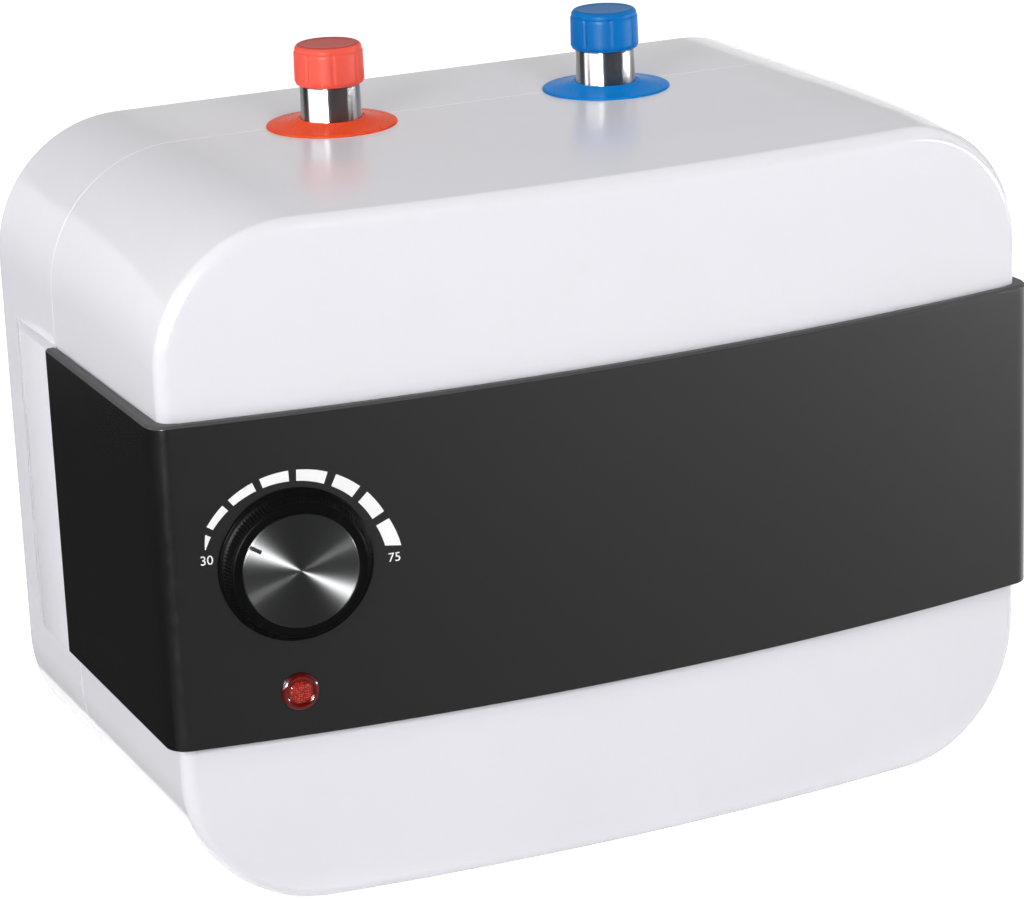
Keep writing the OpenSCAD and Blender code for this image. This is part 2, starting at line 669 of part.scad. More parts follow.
// Places where the leads end
function block_spot(i) = [block_x + block_w * (i + 0.5) / 3, block_y, block_z + block_h - block_hole_in];
function blade_tip(s) = on_face(knob_x, knob_z, [stat_r + blade_l, s * blade_y, blade_z]) + [gap, 0, 0];
function blade_out(s) = blade_tip(s) + [blade_run, 0, 0];
function cutout_tip(s) = [cutout_x + s * cutout_tab_x, cutout_tab_y, cutout_z];
function pin_tip(x, z) = [flange_x + x * element_x, pin_y, flange_z + z * element_z];
// A path that leaves both ends forwards to depth y and passes the given places there
function forward(from, places, to, y) = concat(
    [from, [from[0], y, from[2]]], [for (p = places) [p[0], y, p[1]]], [[to[0], y, to[2]], to]);
lead_y = pin_y - 8;

module live_lead() color("#8a4b2a") {
    turn = blade_out(1);
    end = block_spot(0);
    high = cutout_z + live_rise;
    lead([
        blade_tip(1), turn, [turn[0], turn[1], high], [end[0], turn[1], high],
        [end[0], turn[1], end[2]], end], lead_r);
}
module switched_lead() color("#333333") {
    turn = blade_out(-1);
    end = cutout_tip(-1);
    low = turn[2] - switched_drop;
    lead([
        blade_tip(-1), turn, [turn[0], turn[1], low], [end[0], turn[1], low],
        [end[0], turn[1], end[2]], end], lead_r);
}
module element_lead() color("#555555")
    lead(forward(cutout_tip(1), [[cutout_tip(1)[0], pin_tip(-1, 1)[2]]], pin_tip(-1, 1), lead_y), lead_r);
module element_link() color("#777777") lead(forward(pin_tip(-1, -1), [], pin_tip(1, -1), lead_y), lead_r);
module neutral_lead() color("#2f62b5") {
    from = pin_tip(1, 1);
    to = block_spot(1);
    high = to[2] + neutral_rise;
    lead(forward(from, [[from[0], high], [to[0], high]], to, lead_y - 3), lead_r);
}
module earth_lead() color("#3f8f3a") {
    to = block_spot(2);
    low = block_z - earth_drop;
    lead(forward([earth_x, earth_y, flange_z], [[earth_x, low], [to[0], low]], to, lead_y + 3), lead_r);
}

module hanging_plate() color(steel) difference() {
    translate([-plate_w / 2, plate_y0, plate_z - plate_h / 2]) cube([plate_w, plate_t, plate_h]);
    for (s = [-1, 1]) {
        x = s * keyhole_pitch / 2;
        bar_y(x, keyhole_z, plate_y0 - over, plate_y1 + over, keyhole_r);
        bar_y(x, keyhole_z + keyhole_rise, plate_y0 - over, plate_y1 + over, keyhole_slot_r);
        translate([x - keyhole_slot_r, plate_y0 - over, keyhole_z])
            cube([2 * keyhole_slot_r, plate_t + 2 * over, keyhole_rise]);
        translate([s * post_x, plate_y0, plate_z]) rotate([-90, 0, 0])
            cylinder(h = plate_t, r1 = plate_screw_r + touch, r2 = plate_screw_head_r + touch);
    }
}
module plate_screws() color(steel)
    for (s = [-1, 1]) translate([s * post_x, plate_y0, plate_z]) rotate([-90, 0, 0]) {
        cylinder(h = plate_t, r1 = plate_screw_r, r2 = plate_screw_head_r);
        post(-7, over, plate_screw_r);
    }
module case_screws() color(steel) each_boss() {
    bar_y(0, 0, screw_seat_y - screw_l, screw_seat_y + over, screw_r);
    bar_y(0, 0, screw_seat_y, screw_seat_y + screw_head_h, screw_head_r);
}
module cord_gland() color("#2a2a2c") difference() {
    union() {
        bar_y(gland_x, gland_z, rear_y - wall - over, rear_y, gland_r);
        bar_y(gland_x, gland_z, rear_y - wall - gland_flange_t, rear_y - wall, gland_flange_r);
    }
    bar_y(gland_x, gland_z, rear_y - wall - gland_flange_t - over, rear_y + over, gland_bore_r);
}

front_shell();
rear_shell();
control_band();
thermostat_knob();
knob_disc();
thermostat_spindle();
thermostat();
thermostat_screws();
lamp_lens();
lamp_holder();
lamp_clip();
neon_bulb();
inner_tank();
foam_front();
foam_rear();
hot_pipe();
cold_pipe();
dip_tube();
hot_ring();
cold_ring();
hot_cap();
cold_cap();
hot_cap_seal();
cold_cap_seal();
heater_flange();
flange_gasket();
tank_studs();
flange_nuts();
heating_element();
anode_rod();
thermowell();
sensor_capillary();
thermal_cutout();
terminal_block();
live_lead();
switched_lead();
element_lead();
element_link();
neutral_lead();
earth_lead();
hanging_plate();
plate_screws();
case_screws();
cord_gland();
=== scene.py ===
import math
import bpy
from mathutils import Matrix, Vector

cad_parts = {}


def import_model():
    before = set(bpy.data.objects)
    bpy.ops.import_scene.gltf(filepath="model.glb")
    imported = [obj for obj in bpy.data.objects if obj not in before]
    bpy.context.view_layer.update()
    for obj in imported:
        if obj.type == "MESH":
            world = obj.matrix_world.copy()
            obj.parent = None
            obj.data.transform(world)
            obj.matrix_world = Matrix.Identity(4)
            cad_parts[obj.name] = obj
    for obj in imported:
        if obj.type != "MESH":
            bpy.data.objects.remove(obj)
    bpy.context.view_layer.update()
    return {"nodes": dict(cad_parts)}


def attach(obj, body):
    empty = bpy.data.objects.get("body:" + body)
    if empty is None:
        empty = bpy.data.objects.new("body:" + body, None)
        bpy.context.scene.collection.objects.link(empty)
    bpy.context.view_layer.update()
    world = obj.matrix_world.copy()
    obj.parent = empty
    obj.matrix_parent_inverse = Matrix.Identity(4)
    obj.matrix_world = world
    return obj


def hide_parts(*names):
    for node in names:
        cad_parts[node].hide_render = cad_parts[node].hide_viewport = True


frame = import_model()
print("frame loaded:", len(frame["nodes"]), "nodes")

mm = 0.001  # the tables of the pieces are in millimetres


# shader sockets that can be used in sums
class Wire:
    def __init__(self, finish, socket):
        self.finish = finish
        self.socket = socket

    def maths(self, operation, first, second=None):
        return self.finish.node("ShaderNodeMath", {"operation": operation}, {0: first, 1: second})

    def __add__(self, other):
        return self.maths("ADD", self, other)

    def __radd__(self, other):
        return self.maths("ADD", other, self)

    def __mul__(self, other):
        return self.maths("MULTIPLY", self, other)

    def __rmul__(self, other):
        return self.maths("MULTIPLY", other, self)


class Finish:
    def __init__(self, name, holder=None):
        self.holder = holder or bpy.data.materials.new(name)
        self.holder.use_nodes = True
        self.tree = self.holder.node_tree
        self.tree.nodes.clear()

    def node(self, kind, settings=None, values=None, out=0):
        made = self.tree.nodes.new(kind)
        for key, value in (settings or {}).items():
            setattr(made, key, value)
        for key, value in (values or {}).items():
            if isinstance(value, Wire):
                self.tree.links.new(value.socket, made.inputs[key])
            elif value is not None:
                made.inputs[key].default_value = value
        return Wire(self, made.outputs[out]) if made.outputs else None

    def place(self):
        return self.node("ShaderNodeTexCoord", out="Object")

    def along(self, axis, where=None):  # 0, 1 or 2 for X, Y or Z
        return self.node("ShaderNodeSeparateXYZ", None, {0: where or self.place()}, out=axis)

    def scaled(self, by):
        return self.node("ShaderNodeVectorMath", {"operation": "MULTIPLY"}, {0: self.place(), 1: by})

    def reach(self, where):
        return self.node("ShaderNodeVectorMath", {"operation": "LENGTH"}, {0: where}, out="Value")

    def noise(self, scale, detail=3.0, rough=0.5, where=None):
        return self.node("ShaderNodeTexNoise", None, {
            "Vector": where or self.place(), "Scale": scale, "Detail": detail, "Roughness": rough})

    def mix(self, factor, first, second):
        ends = {0: factor, 6: rgba(first), 7: rgba(second)}
        return self.node("ShaderNodeMix", {"data_type": "RGBA"}, ends, out=2)

    def remap(self, value, low, high, toLow, toHigh):
        return self.node("ShaderNodeMapRange", None, {
            "Value": value, "From Min": low, "From Max": high, "To Min": toLow, "To Max": toHigh})

    def spread(self, noise, low, high):  # a noise keeps mostly between 0.3 and 0.7
        return self.remap(noise, 0.3, 0.7, low, high)

    def bump(self, height, strength, distance):
        values = {"Height": height, "Strength": strength, "Distance": distance}
        return self.node("ShaderNodeBump", None, values)

    # a mask that lightens colour towards sharp convex edges, from the mesh's pointiness
    def edges(self, low, high):
        sharpness = self.node("ShaderNodeNewGeometry", out="Pointiness")
        return self.remap(sharpness, low, high, 0.0, 1.0)

    def surface(self, **sockets):
        values = {socketNames[key]: rgba(value) if key in ("colour", "glow") else value
                  for key, value in sockets.items()}
        shader = self.node("ShaderNodeBsdfPrincipled", None, values)
        self.node("ShaderNodeOutputMaterial", None, {"Surface": shader})
        return self.holder


socketNames = {
    "colour": "Base Color", "rough": "Roughness", "metal": "Metallic", "normal": "Normal",
    "coat": "Coat Weight", "coatRough": "Coat Roughness", "gloss": "Specular IOR Level",
    "aniso": "Anisotropic", "anisoTurn": "Anisotropic Rotation",
    "glow": "Emission Color", "glowPower": "Emission Strength"}


def rgba(colour):
    if isinstance(colour, Wire) or len(colour) == 4:
        return colour
    return (*colour, 1.0)


# finishes; the casing's top is rougher between its corners, in metres
topSheen = {"half": (0.100, 0.122), "high": (0.234, 0.242), "rough": 0.15}


def mouldedWhite():
    f = Finish("mouldedWhite")
    cloud = f.noise(11.0, 2.0)
    skin = f.noise(420.0, 4.0)
    handling = f.noise(60.0, 5.0, 0.62)
    across = f.along(0)
    middle = f.remap(across.maths("ABSOLUTE", across), *topSheen["half"], topSheen["rough"], 0.0)
    middle = middle * f.remap(f.along(2), *topSheen["high"], 0.0, 1.0)
    colour = f.mix(cloud, (0.782, 0.775, 0.820), (0.812, 0.805, 0.850))
    colour = f.mix(f.remap(handling, 0.62, 0.8, 0.0, 0.25), colour, (0.745, 0.738, 0.76))
    return f.surface(
        colour=colour, rough=0.09 + 0.03 * handling + middle, gloss=0.42,
        coat=f.spread(cloud, 0.08, 0.12), coatRough=0.05, normal=f.bump(skin, 0.02, 0.0003))


def satinBlack():
    f = Finish("satinBlack")
    cloud = f.noise(14.0, 3.0)
    grain = f.noise(1500.0, 2.0, 0.7)
    dust = f.noise(220.0, 6.0, 0.7)
    colour = f.mix(cloud, (0.0056, 0.0056, 0.0057), (0.0074, 0.0074, 0.0076))
    colour = f.mix(f.remap(dust, 0.66, 0.85, 0.0, 0.3), colour, (0.02, 0.02, 0.021))
    return f.surface(
        colour=colour, rough=f.spread(dust, 0.16, 0.22), gloss=0.75, normal=f.bump(grain, 0.05, 0.0002))


# a paler copy of the band's black for its top chamfer and ledge: painted sheen where they face up to the
# light
def bandLedgeSheen():
    f = Finish("bandLedgeSheen")
    grain = f.noise(1100.0, 3.0, 0.7)
    drag = f.noise(160.0, 4.0, 0.6)
    colour = f.mix(grain, (0.048, 0.048, 0.050), (0.080, 0.080, 0.083))
    return f.surface(
        colour=f.mix(f.remap(drag, 0.4, 0.7, 0.0, 0.4), colour, (0.056, 0.056, 0.058)), gloss=0.3,
        rough=f.spread(grain, 0.38, 0.5), normal=f.bump(grain, 0.1, 0.0002))


def knobBlack():
    f = Finish("knobBlack")
    grain = f.noise(900.0, 3.0, 0.6)
    colour = f.mix(f.noise(60.0), (0.0030, 0.0030, 0.0031), (0.0048, 0.0048, 0.0050))
    colour = f.mix(f.edges(0.52, 0.64), colour, (0.008, 0.008, 0.0085))
    return f.surface(
        colour=colour, rough=f.spread(grain, 0.30, 0.40), gloss=0.03, normal=f.bump(grain, 0.05, 0.0002))


# turned in fine rings about the knob's axis
def spunMetal():
    f = Finish("spunMetal")
    radius = f.node("ShaderNodeCombineXYZ", None, {"X": f.reach(f.scaled((1.0, 1.0, 0.0)))})
    turning = f.noise(5200.0, 2.0, 0.7, where=radius)
    fine = f.noise(1400.0, 3.0, 0.6, where=radius)
    colour = f.mix(turning, (0.105, 0.1065, 0.108), (0.16, 0.1615, 0.164))
    return f.surface(
        colour=colour, metal=1.0, rough=f.spread(fine, 0.38, 0.45), aniso=1.0, anisoTurn=0.25,
        normal=f.bump(turning, 0.05, 0.00005))


def polishedPipe():
    f = Finish("polishedPipe")
    drawn = f.noise(900.0, 2.0, 0.6, where=f.scaled((1.0, 1.0, 0.02)))
    haze = f.noise(240.0, 4.0)
    colour = f.mix(drawn, (0.38, 0.38, 0.384), (0.46, 0.46, 0.465))
    return f.surface(
        colour=colour, metal=1.0, rough=f.spread(haze, 0.22, 0.27), aniso=1.0, anisoTurn=0.25)


# above this height a cap is coloured darker: partly its own tone, partly painted shade on its top
lidShadeHeight = (0.01405, 0.0143)  # where a cap's lid begins, in metres


def gripPlastic(name, deep, bright, pale, lid):
    f = Finish(name)
    cloud = f.noise(90.0, 3.0)
    pits = f.noise(1100.0, 4.0, 0.65)
    colour = f.mix(cloud, deep, bright)
    colour = f.mix(f.edges(0.53, 0.66) * 0.55, colour, pale)
    # the lid darker than the sides: partly its own tone, partly painted shade
    colour = f.mix(f.remap(f.along(2), *lidShadeHeight, 0.0, 1.0), colour, lid)
    return f.surface(
        colour=colour, rough=f.spread(pits, 0.30, 0.38), gloss=0.07, normal=f.bump(pits, 0.12, 0.0003))


def ringPlastic(name, deep, bright):
    f = Finish(name)
    cloud = f.noise(70.0, 3.0)
    flow = f.noise(600.0, 3.0)
    return f.surface(
        colour=f.mix(cloud, deep, bright), rough=f.spread(flow, 0.26, 0.34), gloss=0.03,
        normal=f.bump(flow, 0.03, 0.0003))


# a dark rim round a field of small prisms
def lensRed():
    f = Finish("lensRed")
    flat = f.scaled((1.0, 1.0, 0.0))
    prism = f.node("ShaderNodeTexVoronoi", {"feature": "F1"}, {
        "Vector": flat, "Scale": 1250.0, "Randomness": 0.45}, out="Distance")
    middle = f.remap(f.reach(flat), 0.0036, 0.0044, 1.0, 0.0)
    cells = f.remap(prism, 0.1, 0.55, 1.0, 0.0) * middle
    colour = f.mix(middle, (0.100, 0.003, 0.002), (0.20, 0.005, 0.004))
    colour = f.mix(cells, colour, (0.70, 0.046, 0.015))
    return f.surface(
        colour=colour, rough=f.remap(middle, 0.0, 1.0, 0.06, 0.2), coat=0.6, coatRough=0.05,
        glow=f.mix(cells, (0.035, 0.001, 0.0), (0.32, 0.016, 0.004)), glowPower=0.4,
        normal=f.bump(cells, 0.35, 0.0002))


def printWhite():
    f = Finish("printWhite")
    ink = f.noise(700.0, 4.0)
    return f.surface(
        colour=f.mix(ink, (0.93, 0.93, 0.93), (0.97, 0.97, 0.97)), rough=0.4 + 0.1 * ink,
        normal=f.bump(ink, 0.05, 0.0001))


def metal(name, dark, light, rough, scale=500.0):
    f = Finish(name)
    brush = f.noise(scale, 4.0, 0.65)
    stain = f.noise(45.0, 4.0)
    colour = f.mix(brush, dark, light)
    colour = f.mix(f.remap(stain, 0.6, 0.8, 0.0, 0.35), colour, [c * 0.7 for c in dark])
    return f.surface(
        colour=colour, metal=1.0, rough=f.spread(brush, rough, rough + 0.14),
        normal=f.bump(brush, 0.06, 0.0003))


def plain(name, dark, light, rough, scale=400.0, gloss=0.4):
    f = Finish(name)
    cloud = f.noise(50.0, 3.0)
    grain = f.noise(scale, 4.0, 0.6)
    return f.surface(
        colour=f.mix(cloud, dark, light), rough=f.spread(grain, rough, rough + 0.15), gloss=gloss,
        normal=f.bump(grain, 0.12, 0.0003))


def rigidFoam():
    f = Finish("rigidFoam")
    cells = f.node("ShaderNodeTexVoronoi", None, {"Vector": f.place(), "Scale": 520.0}, out="Distance")
    cloud = f.noise(35.0, 4.0)
    colour = f.mix(cloud, (0.78, 0.68, 0.43), (0.88, 0.80, 0.57))
    return f.surface(
        colour=f.mix(f.remap(cells, 0.0, 0.5, 0.4, 0.0), colour, (0.62, 0.52, 0.30)), rough=0.85,
        gloss=0.2, normal=f.bump(cells, 0.5, 0.0008))


def enamelSteel():
    f = Finish("enamelSteel")
    cloud = f.noise(22.0, 4.0)
    speck = f.noise(900.0, 2.0, 0.7)
    colour = f.mix(cloud, (0.16, 0.19, 0.24), (0.23, 0.27, 0.33))
    return f.surface(
        colour=f.mix(f.remap(speck, 0.62, 0.75, 0.0, 0.6), colour, (0.5, 0.52, 0.56)),
        rough=f.spread(cloud, 0.25, 0.4), coat=0.3, coatRough=0.1, normal=f.bump(speck, 0.05, 0.0002))


finishes = {
    "white": mouldedWhite(),
    "band": satinBlack(),
    "bandLedgeSheen": bandLedgeSheen(),
    "knob": knobBlack(),
    "spun": spunMetal(),
    "pipe": polishedPipe(),
    # each cap's last colour is its lid: partly its own tone, partly painted shade on the top
    "redCap": gripPlastic(
        "redGrip", (0.82, 0.100, 0.066), (0.89, 0.122, 0.084), (0.95, 0.28, 0.22), (0.50, 0.066, 0.048)),
    "blueCap": gripPlastic(
        "blueGrip", (0.002, 0.155, 0.49), (0.004, 0.190, 0.57), (0.03, 0.34, 0.76), (0.004, 0.140, 0.40)),
    "redRing": ringPlastic("redRing", (0.86, 0.070, 0.018), (0.93, 0.100, 0.030)),
    "blueRing": ringPlastic("blueRing", (0.001, 0.200, 0.62), (0.002, 0.250, 0.72)),
    "lens": lensRed(),
    "print": printWhite(),
    "zinc": metal("zincPlate", (0.46, 0.47, 0.48), (0.62, 0.63, 0.64), 0.26),
    "brass": metal("bareBrass", (0.46, 0.31, 0.11), (0.62, 0.45, 0.19), 0.24),
    "copper": metal("bareCopper", (0.50, 0.23, 0.11), (0.66, 0.34, 0.18), 0.24),
    "magnesium": metal("castMagnesium", (0.36, 0.37, 0.37), (0.50, 0.51, 0.50), 0.42, 180.0),
    "enamel": enamelSteel(),
    "foam": rigidFoam(),
    "natural": plain("naturalPlastic", (0.62, 0.59, 0.50), (0.72, 0.69, 0.60), 0.42),
    "blackPlastic": plain("blackPlastic", (0.012, 0.012, 0.012), (0.022, 0.022, 0.023), 0.38),
    "rubber": plain("blackRubber", (0.014, 0.014, 0.014), (0.026, 0.026, 0.026), 0.65, 300.0, 0.3),
    "neon": plain("neonGlass", (0.75, 0.40, 0.25), (0.85, 0.52, 0.34), 0.08),
    "inlay": plain("inlayBlack", (0.008, 0.008, 0.008), (0.016, 0.016, 0.016), 0.5),
    "brownLead": plain("brownLead", (0.10, 0.034, 0.014), (0.15, 0.055, 0.022), 0.45),
    "blackLead": plain("blackLead", (0.012, 0.012, 0.012), (0.024, 0.024, 0.024), 0.45),
    "blueLead": plain("blueLead", (0.012, 0.075, 0.30), (0.02, 0.11, 0.40), 0.45),
    "greenLead": plain("greenLead", (0.03, 0.17, 0.03), (0.06, 0.25, 0.05), 0.45),
}
print("finishes made:", len(finishes))

# the casing's size and the two bowed fronts that everything is set out from
casing = {
    "width": 333.0, "height": 247.0, "depth": 189.0, "wall": 2.5, "corner": 49.0, "frontEdge": 4.5,
    "rearEdge": 4.0, "draft": 1.0, "topFall": 3.9, "falls": (0.68, 0.56, 0.45, 0.34, 0.23, 0.12, 0.0),
    "rearDepth": 64.7, "seamBevel": 0.42, "seamTop": 0.12, "seamGap": 0.05, "bow": 15.2, "endInset": 2.0,
    "lap": 4, "lapGap": 0.2, "lapInner": 1.7, "smooth": 12.0,
    "arcSteps": 20, "topSteps": 24, "edgeSteps": 10, "innerSteps": 3}
frontY = -casing["depth"] / 2
rearY = casing["depth"] / 2
seamY = rearY - casing["rearDepth"]
band = {
    "low": 63.4, "height": 115.2, "thick": 3.2, "proud": 3.6, "corner": 8.0, "edge": 0.35, "gap": 0.3,
    "chamfer": 0.9, "holeRow": 6.3, "knobHole": 5.4, "lampGap": 0.3, "smooth": 35.0,
    "ledgeRear": 3.55, "ledgeGrow": 0.6, "ledgeCorner": 4.9, "ledgeSwell": 0.35,
    "bowSteps": 96, "cornerSteps": 12, "swellSteps": 10, "sides": (0, 0.03, 0.35, 0.7)}
bandHalf = casing["width"] / 2 + band["proud"]
bowR = (bandHalf ** 2 + casing["bow"] ** 2) / (2 * casing["bow"])
bowY = frontY - band["proud"] + bowR
caseBowR = bowR - band["proud"]
pipes = {
    "hotX": -58.4, "coldX": 51.6, "y": 24.0, "neck": 11.0, "bore": 8.0, "neckTop": 262.0, "foot": 215.0,
    "flange": 15.0, "flangeLow": 221.0, "flangeHigh": 225.0, "hole": 12.3, "cutLow": 200, "cutHigh": 280,
    "thread": 10.4, "threadDepth": 1.1, "threadTop": 273.2, "threadEnd": 0.25, "threadFade": 1.2,
    "pitch": 1.814, "threadRows": 54, "ring": 23.7, "ringHigh": 2.8, "ringEdge": 0.86, "ringLip": 13.2}
crownY = pipes["y"] - pipes["ring"] - 1.0


def bowFace(x, radius):
    return bowY - math.sqrt(radius * radius - x * x)


# a frame on the band's face: X to the right, Y up, Z straight out
def onFront(x, z):
    turn = math.asin(x / bowR)
    right = Vector((math.cos(turn), math.sin(turn), 0.0))
    out = Vector((math.sin(turn), -math.cos(turn), 0.0))
    place = Matrix((right, Vector((0, 0, 1)), out)).transposed().to_4x4()
    place.translation = Vector((x, bowFace(x, bowR), z)) * mm
    return place


def addPiece(name, points, faces, finish, place=None, smooth=30.0):
    mesh = bpy.data.meshes.new(name)
    mesh.from_pydata([Vector(p) * mm for p in points], [], faces)
    mesh.update()
    piece = bpy.data.objects.new(name, mesh)
    bpy.context.collection.objects.link(piece)
    if place is not None:
        piece.matrix_world = place
    mesh.materials.append(finishes[finish])
    shade(piece, smooth)
    return piece


def shade(piece, angle):
    mesh = piece.data
    for face in mesh.polygons:
        face.use_smooth = True
    mesh.set_sharp_from_angle(angle=math.radians(angle))


# cut tools away, then keep the result as the piece's own mesh
def carve(piece, tools, angle=30.0):
    for tool in tools:
        cut = piece.modifiers.new("cut", "BOOLEAN")
        cut.operation = "DIFFERENCE"
        cut.solver = "EXACT"
        cut.object = tool
    settle(piece, angle)
    for tool in tools:
        bpy.data.objects.remove(tool, do_unlink=True)


def meshOf(piece):
    return bpy.data.meshes.new_from_object(piece.evaluated_get(bpy.context.evaluated_depsgraph_get()))


def settle(piece, angle):
    bpy.context.view_layer.update()
    result = meshOf(piece)
    piece.modifiers.clear()
    piece.data = result
    shade(piece, angle)


def soften(piece, width, segments, angle=30.0):
    bevel = piece.modifiers.new("edges", "BEVEL")
    bevel.width = width * mm
    bevel.segments = segments
    bevel.limit_method = "ANGLE"
    bevel.angle_limit = math.radians(angle)
    settle(piece, 40.0)


def weigh(piece):
    normals = piece.modifiers.new("normals", "WEIGHTED_NORMAL")
    normals.keep_sharp = True
    normals.weight = 80


def box(low, high, name="tool", finish="white"):
    xs, ys, zs = zip(low, high)
    points = [(x, y, z) for x in xs for y in ys for z in zs]
    faces = [(0, 1, 3, 2), (4, 6, 7, 5), (0, 4, 5, 1), (2, 3, 7, 6), (0, 2, 6, 4), (1, 5, 7, 3)]
    return addPiece(name, points, faces, finish)


# the side faces between two rings of points, and a face over each
def tube(count):
    faces = [(i, (i + 1) % count, count + (i + 1) % count, count + i) for i in range(count)]
    return faces + [tuple(reversed(range(count))), tuple(range(count, 2 * count))]


def rodTool(start, axis, length, radius, steps=64):
    turn = Vector(axis).normalized().to_track_quat("Z", "Y").to_matrix()
    points = []
    for high in (0.0, length):
        for i in range(steps):
            a = math.tau * i / steps
            rim = Vector((radius * math.cos(a), radius * math.sin(a), high))
            points.append(Vector(start) + turn @ rim)
    return addPiece("tool", points, tube(steps), "white")


# turn a profile of (radius, height) about Z; wave gives a change of radius at a row and angle
def lathe(name, profile, finish, place, steps=96, wave=None, smooth=30.0):
    points, rows = [], []
    for row, (radius, high) in enumerate(profile):
        if radius == 0:
            rows.append([len(points)] * steps)
            points.append((0.0, 0.0, high))
            continue
        rows.append(list(range(len(points), len(points) + steps)))
        for i in range(steps):
            a = math.tau * i / steps
            reach = radius + (wave(row, a, high) if wave else 0.0)
            points.append((reach * math.cos(a), reach * math.sin(a), high))
    faces = []
    for low, high in zip(rows, rows[1:]):
        for i in range(steps):
            k = (i + 1) % steps
            corners = []
            for corner in (low[i], low[k], high[k], high[i]):
                if corner not in corners:
                    corners.append(corner)
            if len(corners) > 2:
                faces.append(corners)
    return addPiece(name, points, faces, finish, place, smooth)


def upright(x, y, z=0.0):
    return Matrix.Translation(Vector((x, y, z)) * mm)


def arc(centre, radius, first, last, steps):
    turns = [math.radians(first + (last - first) * i / steps) for i in range(steps + 1)]
    return [(centre[0] + radius * math.cos(a), centre[1] + radius * math.sin(a)) for a in turns]


# casing shells, lofted through rings from one end to the other and back along the inside
def halfWidth(y):
    return casing["width"] / 2 - casing["draft"] * (rearY - y) / casing["depth"]


def roof(y):
    return casing["height"] - casing["topFall"] * max(0.0, (crownY - y) / (crownY - frontY)) ** 2


def outline(inset, y):
    half, top, r = halfWidth(y) - inset, roof(y) - inset, casing["corner"] - inset
    upper = arc((r - half, top - r), r, 180, 90, casing["arcSteps"])
    upper += [((half - r) * (2 * i / casing["topSteps"] - 1), top) for i in range(1, casing["topSteps"])]
    upper += arc((half - r, top - r), r, 90, 0, casing["arcSteps"])
    return upper + [(x, inset + top - z) for x, z in reversed(upper)]


def flatRing(inset, y):
    return [(x, y, z) for x, z in outline(inset, y)]


# the seam's groove is finer along the top
def seamRing(y):
    top, tall = roof(y), casing["corner"]
    ring = []
    for (ax, az), (bx, bz) in zip(outline(casing["seamTop"], y), outline(casing["seamBevel"], y)):
        t = min(1.0, max(0.0, (top - az) / tall))
        ring.append((ax + (bx - ax) * t, y, az + (bz - az) * t))
    return ring


def bowedRing(inset, deep):
    return [(x, bowFace(x, caseBowR) + deep, z) for x, z in outline(inset, frontY + deep)]


def loft(name, rings, flip):
    count = len(rings[0])
    points = [p for ring in rings for p in ring]
    last = (len(rings) - 1) * count
    pairs = range(count // 2 - 1)
    faces = [(i, i + 1, count - 2 - i, count - 1 - i) for i in pairs]
    for k in range(len(rings) - 1):
        for j in range(count):
            a, b = k * count + j, k * count + (j + 1) % count
            faces.append((a, a + count, b + count, b))
    faces += [(last + count - 1 - i, last + count - 2 - i, last + i + 1, last + i) for i in pairs]
    if flip:
        faces = [tuple(reversed(face)) for face in faces]
    return addPiece(name, points, faces, "white", smooth=casing["smooth"])


def edgeRounds(radius, steps):
    turns = [math.radians(90 * i / steps) for i in range(steps + 1)]
    return [(radius * (1 - math.sin(a)), radius * (1 - math.cos(a))) for a in turns]


def pipeTools():
    tools = []
    r, y, low, high = pipes["hole"], pipes["y"], pipes["cutLow"], pipes["cutHigh"]
    for x in (pipes["hotX"], pipes["coldX"]):
        tools.append(rodTool((x, y, low), (0, 0, 1), high - low, r))
        tools.append(box((x - r, y, low), (x + r, seamY + 0.01, high)))
    return tools


def frontShell():
    wall, edge, bevel, gap = casing["wall"], casing["frontEdge"], casing["seamBevel"], casing["seamGap"]
    falls = [crownY + t * (frontY - crownY) for t in casing["falls"]]
    inner = reversed(edgeRounds(edge - wall, casing["innerSteps"]))
    rings = [bowedRing(edge + casing["endInset"], 0.0)]
    rings += [bowedRing(inset, deep) for inset, deep in edgeRounds(edge, casing["edgeSteps"])]
    rings += [flatRing(0, y) for y in falls]
    rings += [flatRing(0, seamY - bevel - 1.0), flatRing(0, seamY - bevel), seamRing(seamY - gap)]
    rings += [flatRing(wall, seamY - gap)]
    rings += [flatRing(wall, y) for y in reversed(falls)]
    rings += [bowedRing(wall + inset, wall + deep) for inset, deep in inner]
    shell = loft("casingFront", rings, False)
    carve(shell, pipeTools(), casing["smooth"])
    weigh(shell)
    return shell


recess = {
    "half": 101.0, "low": 174.0, "high": 212.0, "deep": 11.0, "wall": 2.0, "lip": 1.2, "cut": (70, 120)}
wells = {
    "x": 141.5, "low": 25.0, "high": 222.0, "radius": 3.8, "boss": 5.0, "hole": 2.1, "bottom": 41.8,
    "foot": -11.9, "lip": 1.2, "edge": 0.1}
gland = {"x": 150.9, "z": 82.6, "radius": 6.05}
rearCut = {"from": 80, "length": 40}


def rearTool(x, z, radius):
    return rodTool((x, rearCut["from"], z), (0, 1, 0), rearCut["length"], radius)


